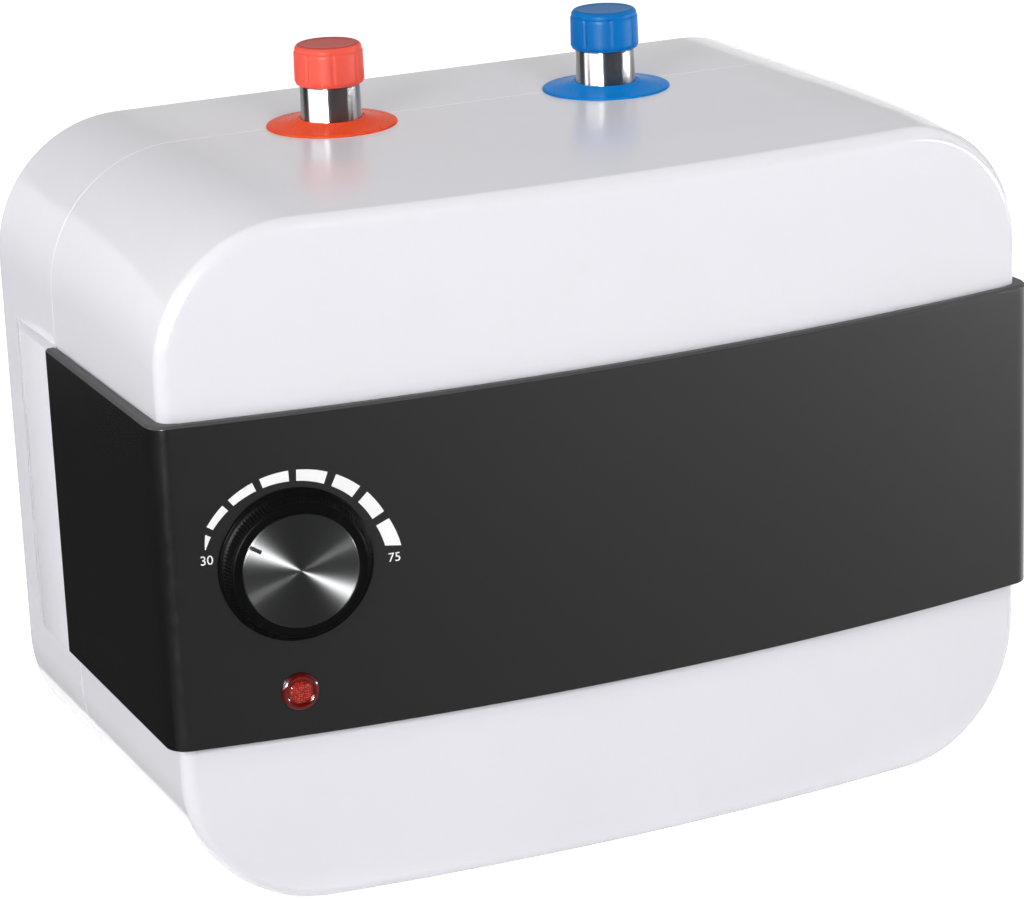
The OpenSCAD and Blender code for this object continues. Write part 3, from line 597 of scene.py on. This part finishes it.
# the rear shell laps behind the front one
def rearShell():
    wall, edge, bevel, gap = casing["wall"], casing["rearEdge"], casing["seamBevel"], casing["seamGap"]
    lap, outer, thin = casing["lap"], wall + casing["lapGap"], wall + casing["lapInner"]
    inner = reversed(edgeRounds(edge - wall, casing["innerSteps"]))
    rings = [flatRing(edge + casing["endInset"], rearY)]
    rings += [flatRing(inset, rearY - deep) for inset, deep in edgeRounds(edge, casing["edgeSteps"])]
    rings += [flatRing(0, seamY + bevel + 1.0), flatRing(0, seamY + bevel), seamRing(seamY + gap)]
    rings += [flatRing(outer, seamY + gap), flatRing(outer, seamY - lap), flatRing(thin, seamY - lap)]
    rings += [flatRing(thin, seamY), flatRing(wall, seamY + lap)]
    rings += [flatRing(wall + inset, rearY - wall - deep) for inset, deep in inner]
    shell = loft("casingRear", rings, True)
    tools = pipeTools()
    start, end = recess["cut"]
    tools.append(box((-recess["half"], start, recess["low"]), (recess["half"], end, recess["high"])))
    for x in (-wells["x"], wells["x"]):
        for z in (wells["low"], wells["high"]):
            tools.append(rearTool(x, z, wells["radius"]))
    tools.append(rearTool(gland["x"], gland["z"], gland["radius"]))
    carve(shell, tools, casing["smooth"])
    weigh(shell)
    return shell


# the moulded tray behind the hanging plate, open to the back
def hangerTray():
    h, low, high, wall = recess["half"], recess["low"], recess["high"], recess["wall"]
    floor = rearY - recess["deep"]
    corner = (h + wall, rearY - recess["lip"], high + wall)
    tray = box((-h - wall, floor - wall, low - wall), corner, "hangerTray")
    carve(tray, [box((-h, floor, low), (h, rearY + 5, high))])
    return tray


def screwWells():
    made = []
    r, boss, hole, foot = wells["radius"], wells["boss"], wells["hole"], wells["foot"]
    deep = rearY - wells["bottom"]
    profile = [(hole, foot), (boss, foot), (boss, deep - wells["lip"]), (r, deep - wells["edge"]),
               (r, 0.0), (hole, 0.0), (hole, foot)]
    for i, x in enumerate((-wells["x"], wells["x"])):
        for j, z in enumerate((wells["low"], wells["high"])):
            place = upright(x, wells["bottom"], z) @ Matrix.Rotation(-math.pi / 2, 4, "X")
            made.append(lathe("screwWell%d%d" % (i, j), profile, "white", place, 48))
    return made


rail = {"straight": 29.8, "slope": 16.3, "edge": 0.5, "under": 4.0}


# the band's line carried on over the rear shell's sides
def sideRails():
    made = []
    start = seamY + casing["seamGap"]
    inner = halfWidth(seamY) - casing["wall"] / 2
    end = seamY + rail["straight"]
    foot = end + rail["slope"]
    steep = (bandHalf - halfWidth(foot)) / rail["slope"]
    buried = foot + rail["under"]
    plan = [(inner, start), (bandHalf, start), (bandHalf, end),
            (halfWidth(foot) - steep * rail["under"], buried), (inner, buried)]
    for side, name in ((-1, "railLeft"), (1, "railRight")):
        low = [(side * x, y, band["low"]) for x, y in plan]
        high = [(x, y, band["low"] + band["height"]) for x, y, z in low]
        faces = tube(len(plan))
        if side < 0:
            faces = [tuple(reversed(face)) for face in faces]
        piece = addPiece(name, low + high, faces, "white")
        soften(piece, rail["edge"], 3, 8.0)
        made.append(piece)
    return made


# the band: one strip with softened edges, swept along its plan of (place, normal, thickness)
def bandPlan():
    corner, steps = band["corner"], band["cornerSteps"]
    x = bandHalf - corner
    y = bowY - math.sqrt((bowR - corner) ** 2 - x * x)
    reach = math.degrees(math.atan2(x, bowY - y))
    rear = seamY - band["gap"]
    stations = []
    for t in band["sides"]:
        deep = band["ledgeRear"] + band["ledgeGrow"] * t
        stations.append(((-bandHalf, rear - (rear - y) * t), (-1.0, 0.0), deep))
    for i in range(steps + 1):
        a = math.radians(180 + (90 - reach) * i / steps)
        out = (math.cos(a), math.sin(a))
        deep = band["ledgeCorner"] + band["ledgeSwell"] * math.sin(math.pi * i / band["swellSteps"])
        stations.append(((-x + corner * out[0], y + corner * out[1]), out, deep))
    for i in range(1, band["bowSteps"] // 2 + 1):
        a = math.radians(-90 - reach + reach * 2 * i / band["bowSteps"])
        out = (math.cos(a), math.sin(a))
        stations.append(((bowR * out[0], bowY + bowR * out[1]), out, band["thick"]))
    mirrored = [((-px, py), (-nx, ny), deep) for (px, py), (nx, ny), deep in reversed(stations[:-1])]
    return stations + mirrored


def controlBand():
    low, high, edge, chamfer = band["low"], band["low"] + band["height"], band["edge"], band["chamfer"]
    section = []
    for a in (-90, -60, -30, 0):
        turn = math.radians(a)
        section.append((edge * (math.cos(turn) - 1), low + edge * (1 + math.sin(turn))))
    rows = [z + side * band["holeRow"] for z in (lamp["z"], knob["z"]) for side in (-1, 1)]
    section += [(0.0, z) for z in (low + edge + 2, *rows, high - chamfer - 2, high - chamfer - 0.12)]
    section += [(-0.04, high - chamfer)]
    sheenFrom = len(section) - 1  # the ledge begins here
    section += [(-chamfer, high - 0.04), (-chamfer - 0.12, high)]
    points, faces = [], []
    count = len(section) + 4
    plan = bandPlan()
    for (px, py), (nx, ny), deep in plan:
        inner = [(0.25 - deep, high), (-deep, high - 0.25), (-deep, low + 0.3), (0.3 - deep, low)]
        points += [(px + nx * out, py + ny * out, z) for out, z in section + inner]
    for k in range(len(plan) - 1):
        for j in range(count):
            a, b = k * count + j, k * count + (j + 1) % count
            faces.append((a, a + count, b + count, b))
    faces.append(tuple(range(count)))
    faces.append(tuple((len(plan) - 1) * count + j for j in reversed(range(count))))
    piece = addPiece("bandCover", points, faces, "band", smooth=band["smooth"])
    piece.data.materials.append(finishes["bandLedgeSheen"])
    # faces from the top chamfer over the ledge take the paler black, a painted sheen
    for face in piece.data.polygons[:(len(plan) - 1) * count]:
        if sheenFrom <= face.index % count < len(section) + 1:
            face.material_index = 1
    tools = []
    for control, radius in ((lamp, lamp["neck"] + band["lampGap"]), (knob, band["knobHole"])):
        place = onFront(control["x"], control["z"])
        start = place @ Vector((0, 0, -9 * mm)) / mm
        tools.append(rodTool(start, place.to_3x3() @ Vector((0, 0, 1)), 18, radius, 48))
    carve(piece, tools, band["smooth"])
    weigh(piece)
    return piece


# knob, its spun disc and the pointer; the rim is given down from the knob's top
knob = {
    "x": -124.3, "z": 125.5, "top": 7.2, "seat": 6.1, "base": 0.6, "shaft": 3.05, "shaftRoof": 1.3,
    "hub": 7.0, "roof": 2.3, "hollow": (21.5, 24.2), "grip": 25.1, "taper": 1.25, "gripLow": 3.0,
    "gripLess": 4.2, "gripSteps": 5, "ribs": 120, "ribDeep": 0.3,
    "skirt": ((26.4, 0.6), (26.65, 0.75), (26.7, 1.0), (26.7, 1.5), (26.6, 1.9), (26.3, 2.3),
              (25.9, 2.55), (25.3, 2.75)),
    "rim": ((23.75, 0.8), (23.55, 0.4), (23.2, 0.12), (22.8, 0.0), (20.6, 0.0), (20.3, 0.15), (20.25, 0.45))}
disc = {
    "radius": 20.15, "seat": 6.12, "top": 7.55, "rings": 12, "pointer": 148.0, "slotIn": 15.6,
    "slotWide": 1.4, "slotDeep": 0.7, "slotGap": 0.03, "inlayEnd": 0.15, "inlayLow": 0.38, "smooth": 25.0}


def knobBody():
    top, seat, base, steps = knob["top"], knob["seat"], knob["base"], knob["gripSteps"]
    shaftTop, roofHigh = seat - knob["shaftRoof"], seat - knob["roof"]
    side = [(knob["grip"] - knob["taper"] * i / steps, knob["gripLow"] + (top - knob["gripLess"]) * i / steps)
            for i in range(steps + 1)]
    profile = [(0, shaftTop), (knob["shaft"], shaftTop), (knob["shaft"], base), (knob["hub"], base),
               (knob["hub"], roofHigh), (knob["hollow"][0], roofHigh), (knob["hollow"][1], base)]
    profile += knob["skirt"]
    first = len(profile)
    profile += side
    profile += [(radius, top - down) for radius, down in knob["rim"]]
    profile += [(knob["rim"][-1][0], seat), (0, seat)]

    def rib(row, a, high):
        if first <= row < first + len(side):
            return -knob["ribDeep"] * (0.5 - 0.5 * math.cos(knob["ribs"] * a)) ** 1.5
        return 0.0
    place = onFront(knob["x"], knob["z"])
    piece = lathe("knobBody", profile, "knob", None, knob["ribs"] * 6, rib, 50.0)
    piece.data.transform(place.to_3x3().to_4x4())
    piece.matrix_world = Matrix.Translation(place.translation)
    return piece


# the knob's axis, turned to the pointer
def pointerPlace():
    return onFront(knob["x"], knob["z"]) @ Matrix.Rotation(math.radians(disc["pointer"]), 4, "Z")


def knobDisc():
    r, top, seat, rings = disc["radius"], disc["top"], disc["seat"], disc["rings"]
    profile = [(0, seat), (r, seat), (r, top - 0.42), (r - 0.12, top - 0.22), (r - 0.42, top), (r - 0.8, top)]
    profile += [(r * (1 - i / rings), top) for i in range(1, rings)] + [(0, top)]
    piece = lathe("knobDisc", profile, "spun", onFront(knob["x"], knob["z"]), 160, None, disc["smooth"])
    half = disc["slotWide"] / 2
    slot = box((disc["slotIn"], -half, top - disc["slotDeep"]), (r + 1, half, top + 1))
    slot.matrix_world = pointerPlace()
    carve(piece, [slot], disc["smooth"])
    return piece


def pointerInlay():
    half, top, gap = disc["slotWide"] / 2 - disc["slotGap"], disc["top"], disc["slotGap"]
    low = (disc["slotIn"] + gap, -half, top - disc["slotDeep"])
    high = (disc["radius"] - disc["inlayEnd"], half, top - disc["inlayLow"])
    piece = box(low, high, "pointerInlay", "inlay")
    piece.matrix_world = pointerPlace()
    soften(piece, 0.08, 2)
    return piece


# printed scale on the band: a thin wedge, then seven blocks that grow, all about the knob;
# the wedge and the last block give (angle, radius) at both ends of their outer and inner side
scale = {
    "x": 0.17, "y": -2.25, "outer": 35.46, "inner": 32.25, "growX": -1.39, "growY": -0.61,
    "lift": 0.09, "sink": 0.02, "steps": 10,
    "wedge": (((159.6, 32.85), (151.2, 34.65)), ((159.6, 32.6), (151.2, 32.5))),
    "blocks": ((146.9, 132.6), (128.4, 112.5), (108.2, 91.7), (87.3, 69.5), (64.4, 48.7), (43.3, 28.0)),
    "last": (((22.8, 35.75), (5.7, 37.0)), ((22.8, 30.7), (8.0, 31.4))),
    "numbers": (("30", -30.3, 5.2), ("75", 34.4, -2.6)), "numberSize": 4.6, "numberThick": 0.04}


def onBand(x, y, lift):
    turn = math.asin(knob["x"] / bowR)
    acrossX = knob["x"] + x * math.cos(turn)
    normal = math.asin(acrossX / bowR)
    deep = bowFace(acrossX, bowR) - lift * math.cos(normal)
    return (acrossX + lift * math.sin(normal), deep, knob["z"] + y)


def blockSides(first, last):
    def inner(angle):
        a = math.radians(angle)
        return scale["inner"] + scale["growX"] * math.cos(a) + scale["growY"] * math.sin(a)
    return ((first, scale["outer"]), (last, scale["outer"])), ((first, inner(first)), (last, inner(last)))


def scaleMark(name, sides):
    steps = scale["steps"]
    low, high = [], []
    for i in range(steps + 1):
        t = i / steps
        for (first, r0), (last, r1) in sides:
            a, r = math.radians(first + (last - first) * t), r0 + (r1 - r0) * t
            x, y = scale["x"] + r * math.cos(a), scale["y"] + r * math.sin(a)
            low.append(onBand(x, y, -scale["sink"]))
            high.append(onBand(x, y, scale["lift"]))
    count = len(low)
    faces = []
    for i in range(steps):
        a, b, c, d = 2 * i, 2 * i + 1, 2 * i + 3, 2 * i + 2
        faces.append((count + a, count + d, count + c, count + b))
        faces.append((a, d, count + d, count + a))
        faces.append((b, count + b, count + c, c))
        faces.append((a, b, c, d))
    faces.append((0, count, count + 1, 1))
    faces.append((count - 2, count - 1, 2 * count - 1, 2 * count - 2))
    return addPiece(name, low + high, faces, "print")


def scaleNumber(name, words, x, y):
    curve = bpy.data.curves.new(name, "FONT")
    curve.body = words
    curve.size = scale["numberSize"] * mm
    curve.align_x = "CENTER"
    curve.align_y = "CENTER"
    curve.extrude = scale["numberThick"] * mm
    curve.materials.append(finishes["print"])
    lettering = bpy.data.objects.new("lettering", curve)
    bpy.context.collection.objects.link(lettering)
    place = Vector(onBand(x, y, scale["lift"] - scale["numberThick"]))
    turn = onFront(place.x, place.z).to_3x3().to_4x4()
    turn.translation = place * mm
    piece = bpy.data.objects.new(name, meshOf(lettering))
    bpy.context.collection.objects.link(piece)
    piece.matrix_world = turn
    bpy.data.objects.remove(lettering, do_unlink=True)
    bpy.data.curves.remove(curve)
    return piece


# lamp lens: a rounded rim about a low dome
lamp = {
    "x": -125.5, "z": 79.9, "radius": 6.6, "neck": 5.3, "neckDeep": 3.1, "rim": 1.15, "rimHigh": 0.45,
    "rimTurn": 165, "dome": 4.35, "domeLow": 0.78, "rise": 0.7, "domeSteps": 14}


def lampLens():
    r, rim, neck, deep, steps = lamp["radius"], lamp["rim"], lamp["neck"], lamp["neckDeep"], lamp["domeSteps"]
    profile = [(0, -deep), (neck, -deep), (neck, 0.04), (r - 0.1, 0.04), (r, 0.14), (r, 0.4)]
    profile += arc((r - rim, lamp["rimHigh"]), rim, 0, lamp["rimTurn"], 16)
    for i in range(steps + 1):
        t = 1 - i / steps
        profile.append((lamp["dome"] * t, lamp["domeLow"] + lamp["rise"] * (1 - t ** 2)))
    return lathe("lampLens", profile, "lens", onFront(lamp["x"], lamp["z"]), 72, None, 35.0)


# pipe stubs with a cut thread, their rings and their caps
def pipeStub(name, x):
    bore, neck, foot, flange, thread = (pipes[key] for key in ("bore", "neck", "foot", "flange", "thread"))
    low, high, rows = pipes["neckTop"], pipes["threadTop"], pipes["threadRows"]
    profile = [(bore, foot), (neck, foot), (neck, pipes["flangeLow"]), (flange, pipes["flangeLow"] + 0.05),
               (flange, pipes["flangeHigh"]), (neck, pipes["flangeHigh"] + 0.05), (neck, low - 0.5),
               (neck - 0.15, low - 0.15), (neck - 0.5, low), (thread - 0.9, low + 0.02)]
    first = len(profile)
    start, end = low + pipes["threadEnd"], high - pipes["threadEnd"]
    profile += [(thread, start + (end - start) * i / (rows - 1)) for i in range(rows)]
    profile += [(thread - 1.1, high), (bore + 0.3, high), (bore, high - 0.3), (bore, foot)]

    def cutThread(row, a, high):
        if not first <= row < first + rows:
            return 0.0
        t = (high / pipes["pitch"] - a / math.tau) % 1.0
        groove = 0.5 - 0.5 * math.cos(math.tau * t)
        fade = min(1.0, (end - high) / pipes["threadFade"])
        return -pipes["threadDepth"] * max(groove ** 1.3, 1.0 - fade)
    return lathe(name, profile, "pipe", upright(x, pipes["y"]), 96, cutThread, 40.0)


# a thin dished ring: flat at its edge, then up to a lip round the neck
def footRing(name, x, finish):
    r, inner, edge, lip = pipes["ring"], pipes["neck"] + 0.06, pipes["ringEdge"], pipes["ringLip"]
    base = casing["height"]
    top = base + pipes["ringHigh"]
    profile = [(inner, base), (r - 0.25, base), (r, base + 0.2), (r, base + 0.42), (r - 0.12, base + 0.68),
               (r - 0.45, base + edge)]
    for i in range(1, 10):
        t = i / 10
        climb = (pipes["ringHigh"] - 0.3 - edge) * (t - 0.18 * math.sin(math.pi * t))
        profile.append((r - 0.45 + (lip - r + 0.45) * t, base + edge + climb))
    profile += [(lip - 0.2, top - 0.28), (lip - 0.5, top - 0.08), (lip - 0.9, top), (inner + 0.3, top),
                (inner, top - 0.25), (inner, base)]
    return lathe(name, profile, finish, upright(x, pipes["y"]), 128, None, 40.0)


cap = {
    "low": 262.3, "high": 14.5, "panel": 12.62, "panelTaper": 0.16, "panelSteps": 8, "body": 12.25,
    "bore": 10.7, "lid": 2.0, "round": 1.8, "dish": 0.16, "grips": 8, "turn": 30.0, "groove": 0.46,
    "grooveWide": 4.2}


# a cap with eight panels between narrow grooves
def screwCap(name, x, finish):
    h, body, panel, bore = cap["high"], cap["body"], cap["panel"], cap["bore"]
    steps, dish = cap["panelSteps"], h - cap["dish"]
    profile = [(0, h - cap["lid"]), (bore, h - cap["lid"]), (bore, 0.5), (bore + 0.35, 0.0),
               (body - 0.5, 0.0), (body - 0.15, 0.15), (body, 0.5), (body + 0.05, 0.8)]
    first = len(profile)
    profile += [(panel - 0.22, 0.95), (panel - 0.04, 1.2), (panel, 1.6)]
    profile += [(panel - cap["panelTaper"] * i / steps, 1.6 + (h - 4.5) * i / steps)
                for i in range(1, steps + 1)]
    profile += [(panel - 0.26, h - 2.65), (panel - 0.5, h - 2.4)]
    last = len(profile)
    profile += [(body - 0.1, h - 2.2), (body - 0.16, h - 1.9)]
    profile += arc((body - 1.95, h - cap["round"]), cap["round"], 0, 90, 8)
    profile += [(body - 2.6, h - 0.02), (body - 3.0, h - 0.12), (body - 4.0, dish), (4.0, dish), (0, dish)]
    pitch = 360 / cap["grips"]

    def grip(row, a, high):
        if not first <= row < last:
            return 0.0
        off = (math.degrees(a) - cap["turn"] + pitch / 2) % pitch - pitch / 2
        t = max(0.0, 1.0 - abs(off) / cap["grooveWide"])
        return -cap["groove"] * t * t * (3 - 2 * t)
    return lathe(name, profile, finish, upright(x, pipes["y"], cap["low"]), 256, grip, 40.0)


def dress(piece, body, *nodes):
    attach(piece, body)
    if nodes:
        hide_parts(*nodes)


dress(frontShell(), "heater", "front_shell")
dress(rearShell(), "heater", "rear_shell")
for part in [hangerTray(), *screwWells(), *sideRails()]:
    dress(part, "heater", "rear_shell")
print("casing made")
dress(controlBand(), "heater", "control_band")
dress(scaleMark("scaleWedge", scale["wedge"]), "heater")
for i, sides in enumerate([blockSides(*block) for block in scale["blocks"]] + [scale["last"]]):
    dress(scaleMark("scaleBlock%d" % (i + 1), sides), "heater")
for words, x, y in scale["numbers"]:
    dress(scaleNumber("scaleNumber" + words, words, x, y), "heater")
print("band and scale made")
dress(knobBody(), "knob", "thermostat_knob")
dress(knobDisc(), "knob", "knob_disc")
dress(pointerInlay(), "knob")
dress(lampLens(), "heater", "lamp_lens")
print("controls made")
for side, tint, x in (("hot", "red", pipes["hotX"]), ("cold", "blue", pipes["coldX"])):
    dress(pipeStub(side + "Pipe", x), "heater", side + "_pipe")
    dress(footRing(side + "Ring", x, tint + "Ring"), "heater", side + "_ring")
    dress(screwCap(side + "Cap", x, tint + "Cap"), side + "_cap", side + "_cap")
print("pipes, rings and caps made")

# finishes of the solids
nodeFinish = {
    "zinc": ["thermostat_spindle", "thermostat_screws", "lamp_clip", "tank_studs", "flange_nuts",
             "hanging_plate", "plate_screws", "case_screws"],
    "white": ["front_shell", "rear_shell"], "band": ["control_band"], "knob": ["thermostat_knob"],
    "spun": ["knob_disc"], "pipe": ["hot_pipe", "cold_pipe"], "redCap": ["hot_cap"], "blueCap": ["cold_cap"],
    "redRing": ["hot_ring"], "blueRing": ["cold_ring"], "lens": ["lamp_lens"],
    "natural": ["dip_tube", "thermostat", "terminal_block"], "blackPlastic": ["lamp_holder", "cord_gland"],
    "rubber": ["flange_gasket", "hot_cap_seal", "cold_cap_seal"], "neon": ["neon_bulb"],
    "enamel": ["inner_tank"], "foam": ["foam_front", "foam_rear"],
    "brass": ["heater_flange", "thermowell", "thermal_cutout"],
    "copper": ["heating_element", "sensor_capillary"], "magnesium": ["anode_rod"],
    "brownLead": ["live_lead"], "blackLead": ["switched_lead", "element_lead", "element_link"],
    "blueLead": ["neutral_lead"], "greenLead": ["earth_lead"]}
for finish, nodes in nodeFinish.items():
    for name in nodes:
        mesh = frame["nodes"][name].data
        mesh.materials.clear()
        mesh.materials.append(finishes[finish])
print("solids finished")

# camera, at the photo's place
view = {
    "at": (-521.9, -1163.9, 526.3), "right": (0.9078, -0.4177, -0.0378), "back": (-0.3879, -0.8704, 0.3032),
    "lens": 126.63, "sensor": 36.0, "clip": (0.05, 50.0)}


def camera():
    data = bpy.data.cameras.new("camera")
    data.lens = view["lens"]
    data.sensor_width = view["sensor"]
    data.sensor_fit = "HORIZONTAL"
    data.clip_start, data.clip_end = view["clip"]
    made = bpy.data.objects.new("camera", data)
    bpy.context.collection.objects.link(made)
    back = Vector(view["back"]).normalized()
    right = Vector(view["right"])
    right = (right - back * right.dot(back)).normalized()
    place = Matrix((right, back.cross(right), back)).transposed().to_4x4()
    place.translation = Vector(view["at"]) * mm
    made.matrix_world = place
    bpy.context.scene.camera = made


# lights, in metres and watts; one with gloss shows only in reflections, and a fill only lights
heaterMiddle = (0, 0, 0.12)
lamps = {
    "key": {"at": (-1.52, -1.66, 0.40), "size": (0.45, 0.4), "power": 105, "gloss": True},
    "rightBox": {"at": (1.75, -0.95, 0.10), "size": (1.2, 0.18), "power": 7},
    "backBox": {"at": (0.85, 1.0, 2.0), "aim": (0, 0, 0.2), "size": (0.8, 0.6), "power": 1},
    "leftFill": {"at": (-1.9, 0.3, 0.16), "size": (0.6, 0.4), "power": 14.5, "fill": True},
    "rightFill": {"at": (1.9, 0.5, 0.5), "size": (0.6, 0.6), "power": 5.7, "fill": True},
    "frontFill": {"at": (0.1, -1.75, 1.05), "size": (0.6, 0.4), "power": 10, "fill": True},
    "sideFill": {"at": (-1.45, -1.2, 1.0), "size": (0.6, 0.4), "power": 12.1, "fill": True},
    "highFill": {"at": (0.15, -1.0, 1.9), "size": (0.7, 0.4), "power": 5.6, "fill": True},
    "rightGleam": {"at": (1.85, -0.8, 0.06), "size": (1.2, 0.12), "power": 14, "gloss": True},
    "topFill": {"at": (-0.2, 0.3, 2.3), "aim": (0, 0, 0.2), "size": (1.2, 0.8), "power": 4.2, "fill": True},
}


def lights():
    for name, spec in lamps.items():
        data = bpy.data.lights.new(name, "AREA")
        data.shape = "RECTANGLE"
        data.size, data.size_y = spec["size"]
        data.energy = spec["power"]
        made = bpy.data.objects.new(name, data)
        bpy.context.collection.objects.link(made)
        made.location = spec["at"]
        aim = Vector(spec.get("aim", heaterMiddle)) - made.location
        made.rotation_euler = aim.to_track_quat("-Z", "Y").to_euler()
        made.visible_camera = False
        made.visible_glossy = not spec.get("fill", False)
        made.visible_diffuse = not spec.get("gloss", False)


# flags that only reflections see, in metres: a curtain round the front, a bright panel inside it, a board
# and its skirt behind, a strip and a wing at the sides, and two sheets just over the floor;
# rows are (radius, height), and a fade starts from its own tone
flags = {
    "curtain": {"turn": (-76, 70), "rows": ((3.4, 0.0), (3.4, 3.6), (0.5, 4.4)), "steps": 48, "tone": 0.012},
    "board": {"x": (-3.2, 3.0), "y": (2.6, 2.6), "z": (0.75, 3.2), "tone": 0.5,
              "fade": {"axis": 0, "range": (-1.5, 0.6), "tone": 0.08}},
    "skirt": {"x": (-3.2, 0.2), "y": (2.55, 2.55), "z": (0.0, 0.75), "tone": 0.8,
              "fade": {"axis": 2, "range": (0.0, 0.75), "tone": 0.45}},
    "strip": {"x": (-2.30, -1.55), "y": (1.12, 2.0), "z": (0.0, 2.2), "tone": 0.012},
    "panel": {"turn": (-112, -42), "rows": ((2.9, 0.1), (2.9, 1.9)), "steps": 12, "tone": 4.5},
    "wing": {"x": (2.4, 2.7), "y": (0.25, 2.2), "z": (0.0, 2.0), "tone": 0.4},
    "sheet": {"x": (-2.2, 1.166), "y": (-2.6, -0.1), "over": 0.0015, "tone": 0.05, "soft": 1.613},
    "rearSheet": {"x": (-3.2, -0.17), "y": (-0.1, 2.55), "over": 0.0015, "tone": 0.45,
                  "fade": {"axis": 1, "range": (0.5, 2.4), "tone": 0.03}},
}


def flagShape(spec):
    quad = [(0, 1, 3, 2)]
    if "over" in spec:
        return [(x, y, spec["over"]) for x in spec["x"] for y in spec["y"]], quad
    if "z" in spec:
        return [(x, y, z) for x, y in zip(spec["x"], spec["y"]) for z in spec["z"]], quad
    first, last = spec["turn"]
    steps, count = spec["steps"], len(spec["rows"])
    turns = [math.radians(first + (last - first) * i / steps) for i in range(steps + 1)]
    points = [(r * math.sin(a), -r * math.cos(a), z) for a in turns for r, z in spec["rows"]]
    corners = [count * i + k for i in range(steps) for k in range(count - 1)]
    return points, [(c, c + count, c + count + 1, c + 1) for c in corners]


def flagCloth(name, spec):
    f = Finish(name)
    cloth = f.mix(f.noise(20.0), [spec["tone"] * 0.9] * 3, [spec["tone"] * 1.1] * 3)
    if "fade" in spec:
        fade = spec["fade"]
        part = f.remap(f.along(fade["axis"]), *fade["range"], 0.0, 1.0)
        cloth = f.mix(part, [fade["tone"]] * 3, cloth)
    shader = f.node("ShaderNodeEmission", None, {"Color": cloth})
    if "soft" in spec:
        end = spec["x"][1]
        near = f.remap(f.along(0), end - spec["soft"], end, 1.0, 0.0)
        clear = f.node("ShaderNodeBsdfTransparent")
        shader = f.node("ShaderNodeMixShader", None, {0: near, 1: clear, 2: shader})
    f.node("ShaderNodeOutputMaterial", None, {"Surface": shader})
    return f.holder


def hangFlags():
    for name, spec in flags.items():
        points, faces = flagShape(spec)
        mesh = bpy.data.meshes.new(name)
        mesh.from_pydata(points, [], faces)
        mesh.materials.append(flagCloth(name, spec))
        made = bpy.data.objects.new(name, mesh)
        bpy.context.collection.objects.link(made)
        made.visible_camera = False
        made.visible_diffuse = False
        made.visible_shadow = False
        made.visible_transmission = False


sky = {"low": 0.164, "high": 0.311, "full": 0.9}


# 1 where something is looked at or mirrored, 0 where it only lights
def seenRay(f):
    path = f.node("ShaderNodeLightPath", out="Is Camera Ray")
    glossy = f.node("ShaderNodeLightPath", out="Is Glossy Ray")
    through = f.node("ShaderNodeLightPath", out="Is Transmission Ray")
    return path.maths("MAXIMUM", path.maths("MAXIMUM", path, glossy), through)


# white to look at, and dimmer as light
def world():
    made = bpy.data.worlds.new("studio")
    bpy.context.scene.world = made
    f = Finish("studio", made)
    high = f.along(2, f.node("ShaderNodeTexCoord", out="Generated"))
    level = f.mix(f.remap(high, 0.0, sky["full"], 0.0, 1.0), [sky["low"]] * 3, [sky["high"]] * 3)
    shown = f.node("ShaderNodeBackground", None, {"Color": (1, 1, 1, 1), "Strength": 1.0})
    lit = f.node("ShaderNodeBackground", None, {"Color": level, "Strength": 1.0})
    both = f.node("ShaderNodeMixShader", None, {0: seenRay(f), 1: lit, 2: shown})
    f.node("ShaderNodeOutputWorld", None, {"Surface": both})


# a matte floor, lifted a little where it is looked at, and more further out
floorLook = {"size": 12.0, "near": 0.5, "far": 0.84, "reach": (0.4, 2.2), "dark": 0.90, "light": 0.93}


def ground():
    size = floorLook["size"]
    mesh = bpy.data.meshes.new("ground")
    corners = [(-size, -size, 0), (size, -size, 0), (size, size, 0), (-size, size, 0)]
    mesh.from_pydata(corners, [], [(0, 1, 2, 3)])
    floor = bpy.data.objects.new("ground", mesh)
    bpy.context.collection.objects.link(floor)
    f = Finish("paleGround")
    dark, light, near, far = ([floorLook[key]] * 3 for key in ("dark", "light", "near", "far"))
    matte = f.node("ShaderNodeBsdfDiffuse", None, {"Color": f.mix(f.noise(8.0), dark, light)})
    lift = f.mix(f.remap(f.reach(f.place()), *floorLook["reach"], 0.0, 1.0), near, far)
    pale = f.node("ShaderNodeEmission", None, {"Color": lift, "Strength": 1.0})
    lifted = f.node("ShaderNodeAddShader", None, {0: matte, 1: pale})
    both = f.node("ShaderNodeMixShader", None, {0: seenRay(f), 1: matte, 2: lifted})
    f.node("ShaderNodeOutputMaterial", None, {"Surface": both})
    mesh.materials.append(f.holder)


camera()
lights()
hangFlags()
world()
ground()
bpy.context.scene.view_settings.view_transform = "Standard"
print("camera, lights and ground made")
